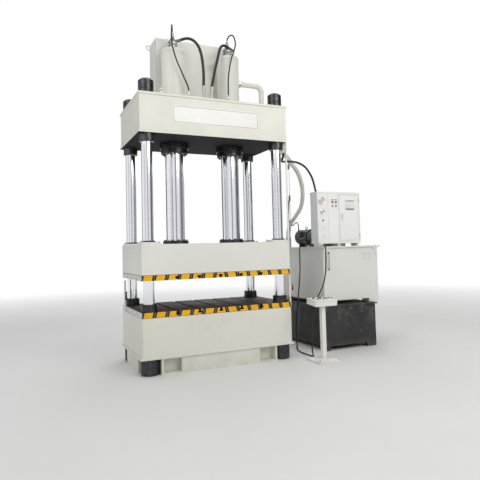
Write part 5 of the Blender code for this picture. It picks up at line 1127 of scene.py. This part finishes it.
def make_rail_details():
    piece = Piece("rail_details", "frame", "zinc", "black", "dark_steel")
    x, y = RAIL
    for z in (0.7835, 3.25):
        for way in (-1, 1):
            piece.cap_screw(0.006, 0.005, along((x - 0.013, y + way * 0.0248, z), (0, way, 0)))
    for z in (1.02, 2.36, 2.84):
        piece.box((0.0425, -0.021, -0.031), (0.0452, 0.021, 0.031), at(x, y, z), 0.001, 1)
        for spot in corners(0.016, 0.026, along((x + 0.0451, y, z), (1, 0, 0))):
            piece.knob(0.0028, 0, 0.0022, 0.0014, 10, spot)
        piece.box((0.018, -0.036, 0.006), (0.026, -0.0248, 0.018), at(x, y, z), 0.001, 2)
        piece.box((0.019, -0.036, 0.006), (0.024, -0.032, 0.046), at(x, y, z), 0.001)
        piece.disc(0.009, -0.004, 0.004, 20, along((x + 0.022, y - 0.0345, z + 0.046), (1, 0, 0)), 1)
    for ends in ((2.805, 2.395), (2.325, 1.055)):
        piece.swept([(x + 0.036, y - 0.015, z) for z in ends[::-1]], 0.0045, 12)
        for z in ends:
            piece.hexagon(0.014, 0.01, at(x + 0.036, y - 0.015, z - 0.005), 2)
    piece.hexagon(0.03, 0.016, along((1.068, -0.604, 3.118), (0, 0, -1)))
    piece.built()


# Power unit

def make_gauge_glass():
    piece = Piece("level_gauge_details", "frame", "black", "glass", "brass", "zinc", "plate")
    place = front(1.925, -0.4303, 1.387)
    piece.box((-0.0105, -0.114, -0.0078), (0.0105, 0.114, -0.0008), place, 0.002, 1)
    piece.box((-0.0065, -0.112, -0.0079), (0.0065, 0.112, -0.0066), place, 0.0005, 4)
    for x in (-0.011, 0.011):
        piece.box((x - 0.0014, -0.116, -0.0078), (x + 0.0014, 0.116, 0.0004), place, 0.0004)
    for k in range(9):
        piece.box((-0.0118, -0.1 + 0.025 * k, -0.0004), (-0.0078, -0.0988 + 0.025 * k, 0.0004), place)
    for z in (-0.132, 0.132):
        spot = place @ at(0, z, 0)
        piece.turned([(0, -0.0004), (0.0165, -0.0004), (0.0165, 0.003), (0.014, 0.005), (0, 0.005)], 28, spot)
        piece.hexagon(0.014, 0.006, spot @ at(0, 0, 0.0048), 3)
    piece.built()


def tank_welds(piece, tank, lip, weld, low, high, corner_weld, seed):
    """Beads under a tank's lid and up its corners."""
    left, right, near, back, top = tank
    middle = ((left + right) / 2, (near + back) / 2)
    half_x, half_y = (right - left) / 2, (back - near) / 2
    piece.bead(loop(half_x + 0.001, half_y + 0.001, top - lip, middle), weld, True, seed=seed)
    piece.corner_beads(half_x, half_y, low, top - high, seed + 1, middle, corner_weld)


def make_oil_tank_details():
    left, right, near, back, top = OIL_TANK
    piece = Piece("oil_tank_details", "frame", "oil_tank", "zinc", "outline", slot="white_paint")
    tank_welds(piece, OIL_TANK, 0.0255, 0.005, 0.7, 0.03, 0.003, 61)
    place = front(2.684, near - 0.0002, 1.449)
    piece.panel(rounded(0.138, 0.1, 0.004), 0, 0.001, place)
    piece.frame_line(rounded(0.134, 0.096, 0.004), 0.003, 0.001, place, 2)
    for spot in corners(0.061, 0.042, place, 0.0008):
        piece.knob(0.003, 0, 0.002, 0.0018, 10, spot, 1)
    piece.cover(0.19, 0.17, 16, 0.016, 0.009, 56, along((2.35, back + 0.0003, 1.2), (0, 1, 0)))
    for x in (left + 0.02, right - 0.02):
        for y in (near + 0.02, back - 0.02):
            piece.disc(0.01, 0, 0.003, 20, at(x, y, top - 0.0002), 1)
            piece.hexagon(0.016, 0.008, at(x, y, top + 0.0026), 1)
    piece.built()
    low = Piece("lower_tank_details", "frame", "charcoal", "dark_steel")
    tank_welds(low, LOWER_TANK, 0.0015, 0.0055, 0.005, 0.006, 0.0032, 71)
    low.cover(0.2, 0.18, 16, 0.018, 0.009, 56, along((LOWER_TANK[1] + 0.0003, 0.26, 0.36), (1, 0, 0)))
    low.built()
    cap = Piece("filler_cap_ribs", "frame", "dark_steel")
    filler = at(*FILLER)
    for k in range(24):
        rib = filler @ Matrix.Rotation(2 * math.pi * k / 24, 4, "Z")
        cap.box((0.0438, -0.0022, 0.048), (0.0468, 0.0022, 0.09), rib, 0.0008)
    cap.ring(0.02, 0.036, 0.0945, 0.0965, filler)
    cap.built()


SEGMENTS = {"0": "abcdef", "1": "bc", "2": "abged", "4": "fgbc", "5": "afgcd", "6": "afgedc"}
STROKES = {"a": ((0, 1), (1, 1)), "b": ((1, 0.5), (1, 1)), "c": ((1, 0), (1, 0.5)), "d": ((0, 0), (1, 0)),
           "e": ((0, 0), (0, 0.5)), "f": ((0, 0.5), (0, 1)), "g": ((0, 0.5), (1, 0.5))}


def number(piece, text, size, place, finish):
    """A plain number in straight strokes, centred on its placement."""
    thick = size * 0.07
    for k, digit in enumerate(text):
        left = (k - (len(text) - 1) / 2) * size * 0.85 - size * 0.25
        for stroke in SEGMENTS[digit]:
            (x0, y0), (x1, y1) = STROKES[stroke]
            low = (left + x0 * size * 0.5 - thick, (y0 - 0.5) * size - thick, 0)
            high = (left + x1 * size * 0.5 + thick, (y1 - 0.5) * size + thick, 0.0003)
            piece.box(low, high, place, finish=finish)


def make_dial(name, x, z, radius, numbers, reading):
    """White dial with its scale, plain numbers, needle, bezel and glass."""
    piece = Piece(name, "frame", "plate", "black", "ram", "glass")
    place = front(x, CABINET[2] - 0.0122, z)
    inner = radius - 0.007
    piece.disc(inner, 0, 0.0006, 48, place)
    piece.turned([(inner, 0.0002), (inner, 0.0048), (inner + 0.002, 0.0062), (radius, 0.0062),
                  (radius + 0.0022, 0.0046), (radius + 0.0022, -0.011), (radius + 0.0002, -0.011)],
                 64, place, 2)

    def turn(share):
        return math.radians(225 - 270 * share)

    count = 10 * (len(numbers) - 1)
    for k in range(count + 1):
        long = k % 10 == 0
        half = 0.00045 + 0.0003 * long
        piece.box((inner * (0.8 if long else 0.87), -half, 0.0006), (inner * 0.95, half, 0.0009),
                  place @ Matrix.Rotation(turn(k / count), 4, "Z"), finish=1)
    for k, text in enumerate(numbers):
        angle = turn(k / (len(numbers) - 1))
        spot = place @ at(inner * 0.64 * math.cos(angle), inner * 0.64 * math.sin(angle), 0.0006)
        number(piece, text, inner * 0.15, spot, 1)
    piece.box((-inner * 0.2, -0.0013, 0.0016), (inner * 0.76, 0.0013, 0.0022),
              place @ Matrix.Rotation(turn(reading), 4, "Z"), finish=1)
    piece.turned([(0, 0.0005), (inner * 0.1, 0.0005), (inner * 0.1, 0.0028), (0, 0.0032)], 20, place, 1)
    glass = [(0, 0.0036), (inner, 0.0036), (inner, 0.0042), (inner * 0.7, 0.0047), (0, 0.005)]
    piece.turned(glass, 40, place, 3)
    piece.built()


def make_cabinet_details():
    left, right, near, bottom, top = CABINET
    make_dial("pressure_dial", 1.902, 2.364, 0.058, ("0", "10", "20", "40", "50"), 0)
    make_dial("small_dial", 1.918, 2.182, 0.038, ("0", "2", "4", "6"), 0.1)
    piece = Piece("cabinet_details", "frame", "cabinet", "outline", "zinc", "black", "grey", "red",
                  slot="white_paint")
    piece.box((left - 0.003, near - 0.0035, top - 0.024), (right + 0.003, -0.092, top + 0.0008), edge=0.002)
    for x in (2.027, 2.2325):
        seam = at(x, near, 0)
        piece.box((-0.0011, -0.0006, bottom + 0.004), (0.0011, 0.0002, top - 0.0245), seam, finish=1)
    for z in (1.926, 1.776):
        piece.ring(0.0165, 0.0195, 0, 0.0009, front(1.928, near - 0.0001, z), 28, 0.0003, 1)
    place = front(1.922, near - 0.008, 2.044)
    piece.ring(0.0095, 0.0165, -0.0078, 0.0022, place, 28, 0.001, 2)
    piece.disc(0.0094, 0, 0.0012, 24, place, 3)
    piece.box((-0.0012, -0.006, 0.001), (0.0012, 0.006, 0.0052), place, 0.0004, 2)
    for x, z in ((2.113, 2.344), (2.18, 2.346)):
        place = front(x, near, z)
        piece.ring(0.0165, 0.0205, 0.0003, 0.0042, place, 28, 0.001, 2)
        piece.panel(rounded(0.044, 0.013, 0.001), 0.0001, 0.001, place @ at(0, 0.0375, 0), 5)
        place = front(x, near, z - 0.065)
        piece.ring(0.013, 0.019, 0.0003, 0.006, place, 28, 0.001, 2)
        piece.turned([(0.0129, 0.0003), (0.0129, 0.0095), (0.0115, 0.011), (0, 0.0114)], 28, place, 4)
    for x in (left + 0.012, 2.016, 2.038, 2.222):
        for z in (bottom + 0.018, top - 0.042):
            piece.knob(0.0035, 0, 0.0028, 0.0016, 12, front(x, near - 0.0001, z), 2, 0.0018)
    back = at(2.241, -0.0948, 2.09) @ Matrix(((-1, 0, 0), (0, 0, 1), (0, 1, 0))).to_4x4()
    piece.panel(rounded(0.78, 0.78, 0.006), 0, 0.0012, back, 0, 0.0005)
    for k in range(8):
        piece.box((-0.12, -0.28 + 0.022 * k, 0.001), (0.12, -0.268 + 0.022 * k, 0.0035), back, 0.001)
    for spot in corners(0.375, 0.375, back, 0.001):
        piece.knob(0.0045, 0, 0.0035, 0.002, 12, spot, 2)
    piece.built()

    door_left, door_right, door_bottom, door_top = DOOR
    door = Piece("door_details", "cabinet_door", "door", "outline", "zinc", "black", "plate", "grey",
                 slot="white_paint")
    middle = front((door_left + door_right) / 2, near, (door_bottom + door_top) / 2)
    door.frame_line(rounded(0.384, 0.744, 0.006), 0.0022, 0.0002, middle)
    screen = front(2.453, near - 0.007, 2.299)
    door.border((0.083, 0.077), (0.092, 0.087), (0.092, 0.077), -0.0065, 0.0016, screen, 0.001)
    door.box((-0.0828, -0.0555, 0.0001), (0.0828, 0.06, 0.0009), screen, 0.0003, 4)
    for low, high, row in ((0.064, 0.073, (1, 3, 4, 5, 7)), (-0.074, -0.06, range(8))):
        door.box((-0.0828, low - 0.0025, 0.0001), (0.0828, high + 0.0025, 0.0008), screen, 0.0003, 5)
        for k in row:
            x = -0.0735 + 0.021 * k
            door.box((x - 0.0085, low, 0.0006), (x + 0.0085, high, 0.0018), screen, 0.0006, 3)
    for k in range(5):
        y = 0.04 - 0.02 * k
        door.box((-0.07, y, 0.0008), (0.01 + 0.012 * (k % 3), y + 0.0025, 0.0011), screen, 0, 1)
    catch, place = rounded(0.036, 0.128, 0.008), front(2.298, near, 2.098)
    door.panel(catch, 0.0002, 0.0012, place, 0, 0.0004)
    door.frame_line(catch, 0.0014, 0.0008, place)
    for z in (1.8, 2.38):
        pin = [(0, -0.032), (0.0052, -0.032), (0.006, -0.031), (0.006, 0.031), (0.0052, 0.032), (0, 0.032)]
        door.turned(pin, 16, at(door_right + 0.0004, near - 0.0002, z), 2)
    door.built()
    grip = Piece("door_handle_lock", "door_handle", "zinc", "black")
    place = front(2.298, near - 0.0203, 2.137)
    grip.knob(0.0075, 0.0012, 0.0062, 0.002, 20, place)
    grip.box((-0.0009, -0.0045, 0.0018), (0.0009, 0.0045, 0.0024), place, finish=1)
    grip.built()


# Operator stand

SELECTOR_TOP = 0.0245
CONTROLS = ((-0.132, 0.02), (-0.088, -0.022), (-0.022, 0.024), (0.028, -0.008), (0.069, 0), (0.11, 0.004),
            (0.149, -0.012))
EMERGENCY_STOP = 2


def make_stand_details():
    face = at(*CONSOLE_CENTRE) @ Matrix.Rotation(CONSOLE_TILT, 4, "X")
    piece = Piece("console_details", "frame", "stand", "outline", "zinc", "plate", slot="white_paint")
    piece.panel(rounded(0.346, 0.233, 0.006), 0.0003, 0.0016, face, 0, 0.0005)
    piece.border((0.179, 0.1225), (0.1794, 0.1229), (0.1794, 0.1229), -0.0155, -0.013, face, 0, 1)
    for spot in corners(0.163, 0.106, face, 0.0014):
        piece.knob(0.0045, 0, 0.0036, 0.002, 14, spot, 2, 0.0022)
    for k, (x, y) in enumerate(CONTROLS):
        outer = 0.0245 if k == EMERGENCY_STOP else 0.02
        piece.ring(0.0157, outer, 0.0014, 0.0036, face @ at(x, y, 0), 28, 0.0008, 2)
        piece.panel(rounded(0.026, 0.009, 0.001), 0.0015, 0.0022, face @ at(x, y - 0.0335, 0), 3)
    piece.built()
    base = Piece("stand_base_bolts", "frame", "zinc", "stand", slot="white_paint")
    x, y = CONSOLE_CENTRE[:2]
    for spot in corners(0.145, 0.142, at(x, y, 0.033)):
        base.disc(0.014, 0, 0.0028, 24, spot)
        base.hexagon(0.018, 0.01, spot @ at(0, 0, 0.0027))
        base.turned([(0, 0.012), (0.0055, 0.012), (0.0055, 0.018), (0.0045, 0.019), (0, 0.019)], 14, spot)
    base.bead(loop(0.0325, 0.0325, 0.0505, (x, y)), 0.0035, True, 81, 1)
    base.built()
    bar = Piece("selector_pointer", "mode_selector", "plate", slot="black_plastic")
    bar.box((-0.0008, 0.001, SELECTOR_TOP - 0.0002), (0.0008, 0.011, SELECTOR_TOP + 0.0004),
            face @ at(*CONTROLS[0], 0))
    bar.built()


def make_motor_details():
    x, z = MOTOR_AXIS
    piece = Piece("motor_details", "frame", "motor", "dark_steel", "zinc", "outline", slot="motor_paint")
    grille = along((x, 0.6797, z), (0, 1, 0))
    for radius in (0.03, 0.052, 0.074, 0.096):
        piece.ring(radius - 0.004, radius + 0.004, 0, 0.0022, grille, 40, 0.0006, 1)
    for k in range(8):
        spoke = grille @ Matrix.Rotation(math.pi * k / 4, 4, "Z")
        piece.box((0.018, -0.0022, 0), (0.112, 0.0022, 0.0026), spoke, 0.0006)
    piece.knob(0.018, 0.003, 0.014, 0.0042, 28, grille)
    for spot in around(6, 0.124, front(x, 0.3003, z), 30):
        piece.hexagon(0.013, 0.008, spot, 1)
    piece.box((1.9085, 0.428, 1.804), (1.9124, 0.522, 1.886), edge=0.001)
    for spot in corners(0.039, 0.033, along((1.9086, 0.475, 1.845), (-1, 0, 0))):
        piece.knob(0.004, 0, 0.003, 0.002, 12, spot, 2)
    piece.swept(hoop(24, 0.02, front(x, 0.475, z + 0.158)), 0.0055, 10, 1, closed=True)
    piece.turned([(0, -0.01), (0.014, -0.01), (0.014, 0.004), (0.008, 0.01), (0, 0.01)], 20,
                 at(x, 0.475, z + 0.13), 1)
    plate = at(x + 0.1305, 0.475, z) @ Matrix(((0, 0, 1), (1, 0, 0), (0, 1, 0))).to_4x4()
    piece.panel(rounded(0.08, 0.022, 0.002), 0, 0.0012, plate, 3)
    piece.built()

    pipes = Piece("pump_piping", "frame", "zinc", "cast_iron", "dark_steel")
    route = smooth_route([(2.148, 0.11, 1.8), (2.18, 0.11, 1.8), (2.23, 0.112, 1.796), (2.28, 0.13, 1.77),
                          (2.312, 0.172, 1.726), (2.34, 0.212, 1.698), (2.368, 0.224, 1.692),
                          (2.3955, 0.224, 1.692)])
    pipes.swept(even(route, 0.008), 0.0095, 14)
    for start, way in (((2.1485, 0.11, 1.8), 1), ((2.3957, 0.224, 1.692), -1)):
        pipes.turned([(0.009, 0), (0.019, 0), (0.019, 0.016), (0.0125, 0.02), (0.0095, 0.026)], 6,
                     along(start, (way, 0, 0)), 2)
    foot = [(0.03, -0.002), (0.042, 0), (0.042, 0.01), (0.028, 0.01), (0.028, 0.112), (0.02, 0.118)]
    pipes.turned(foot, 28, at(x, 0.11, 1.6242), 1)
    for spot in around(4, 0.0355, at(x, 0.11, 1.634), 45):
        pipes.hexagon(0.011, 0.006, spot, 2)
    for spot in around(4, 0.036, front(x, 0.0498, z), 45):
        pipes.cap_screw(0.0055, 0.006, spot, 2)
    pipes.built()

    coils = Piece("manifold_details", "frame", "black", "dark_steel", "zinc", "outline")
    for x in (2.5293, 2.596, 2.6627):
        coils.box((x - 0.0135, 0.13, 1.815), (x + 0.0135, 0.163, 1.842), edge=0.002)
        coils.knob(0.007, 0.014, 0.005, 0.018, 14, front(x, 0.13, 1.83))
        coils.knob(0.012, 0.008, 0.009, 0.011, 20, front(x, 0.1212, 1.79), 2)
        for spot in corners(0.02, 0.06, at(x, 0.274, 1.8258)):
            coils.cap_screw(0.0045, 0.005, spot, 1)
        coils.panel(rounded(0.036, 0.05, 0.002), 0, 0.0008, at(x, 0.274, 1.826), 3)
    for x, z in ((2.44, 1.655), (2.44, 1.715), (2.52, 1.655), (2.6, 1.655), (2.66, 1.715)):
        coils.hexagon(0.02, 0.01, front(x, 0.1838, z), 2)
    coils.built()


make_camera()
make_cords()
make_round_parts()
make_name_plate()
make_column_details()
make_cylinder_details()
make_press_seams()
make_side_bar()
make_valve_details()
make_elbow_details()
make_tank_details()
make_rail_details()
make_gauge_glass()
make_oil_tank_details()
make_cabinet_details()
make_stand_details()
make_motor_details()


# Stage

def make_floor():
    floor = bpy.data.meshes.new("floor")
    floor.from_pydata(loop(FLOOR_REACH, FLOOR_REACH, 0), [], [(0, 1, 2, 3)])
    made = linked("floor", floor)
    finish = Finish("studio_floor", roughness=0.75)
    cloud = finish.cloud(0.3, 0.7, 0.7, 2)
    finish.set("Base Color", finish.mix(cloud, tone(222, 222, 220), tone(225, 225, 223)))
    finish.bump((finish.noise(40), 0.0004))
    glow = finish.node("Emission", {"Color": (1, 1, 1, 1), "Strength": 1})
    distance = finish.node("VectorMath", {0: finish.place}, operation="LENGTH").outputs["Value"]
    far = finish.span(distance, 5.5, 15)
    blend = finish.node("MixShader", {0: far, 1: finish.shader.outputs[0], 2: glow.outputs[0]})
    output = next(n for n in finish.tree.nodes if n.type == "OUTPUT_MATERIAL")
    finish.put(output.inputs["Surface"], blend.outputs[0])
    floor.materials.append(finish.material)


# Brightness of the hall that polished metal shows, round the whole turn
BAYS = ((0, 1), (0.05, 0.74), (0.09, 0.7), (0.13, 0.92), (0.17, 0.96), (0.205, 0.86), (0.225, 0.28),
        (0.245, 0.36), (0.265, 0.9), (0.34, 0.88), (0.385, 0.5), (0.42, 0.2), (0.46, 0.1), (0.51, 0.16),
        (0.56, 0.55), (0.62, 0.62), (0.7, 0.42), (0.76, 0.12), (0.82, 0.1), (0.86, 0.7), (0.9, 1), (1, 1))


def make_world():
    """White seen directly, a hall of soft bright and dark bays in polished metal, even light elsewhere."""
    world = bpy.data.worlds.new("studio")
    world.use_nodes = True
    bpy.context.scene.world = world
    world.node_tree.nodes.clear()
    sky = Nodes(world.node_tree)
    rays = sky.node("LightPath").outputs
    x, y, z = sky.node("SeparateXYZ", {0: sky.node("TexCoord").outputs["Generated"]}).outputs
    bays = sky.node("ValToRGB", {0: sky.span(sky.math("ARCTAN2", y, x), -math.pi, math.pi)})
    ramp = bays.color_ramp
    ramp.interpolation = "EASE"
    while len(ramp.elements) < len(BAYS):
        ramp.elements.new(0.5)
    for element, (position, value) in zip(ramp.elements, BAYS):
        element.position = position
        element.color = (value, value, value * 1.02, 1)
    white = sky.node("RGB")
    white.outputs[0].default_value = (1, 1, 1, 1)
    banded = sky.mix(sky.span(z, 0.55, 0.8), bays.outputs[0], (0.85, 0.85, 0.86, 1))
    soft = sky.span(z, -0.2, 1, 0.26, 0.58)
    soft_light = sky.node("Background", {"Color": (0.97, 0.985, 1, 1), "Strength": soft})
    shiny = sky.node("Background", {"Color": banded, "Strength": 1})
    seen = sky.node("Background", {"Color": white.outputs[0], "Strength": 1})
    lit = sky.node("MixShader", {0: rays["Is Glossy Ray"], 1: soft_light.outputs[0], 2: shiny.outputs[0]})
    direct = sky.math("MAXIMUM", rays["Is Camera Ray"], rays["Is Transmission Ray"])
    total = sky.node("MixShader", {0: direct, 1: lit.outputs[0], 2: seen.outputs[0]})
    sky.node("OutputWorld", {"Surface": total.outputs[0]})


def add_lamp(name, place, target, size, power, colour=(1, 1, 1)):
    lamp = bpy.data.lights.new(name, "AREA")
    lamp.shape, lamp.energy, lamp.color = "RECTANGLE", power, colour
    lamp.size, lamp.size_y = size
    linked(name, lamp).matrix_world = along(place, Vector(place) - Vector(target))


make_floor()
make_world()
add_lamp("key_lamp", (3.5, -9.5, 6.5), (0.4, -0.3, 2), (6, 4), 380, (1, 0.985, 0.955))
add_lamp("fill_lamp", (-8, -4.5, 7.5), (0, 0, 4), (5, 5), 215, (0.94, 0.97, 1))
add_lamp("roof_lamp", (0.5, 1, 9.5), (0.5, 0, 0), (8, 6), 190)
add_lamp("rear_lamp", (4, 8, 6), (0.5, 0, 2.2), (5, 4), 150)

bpy.context.scene.view_settings.view_transform = "Standard"
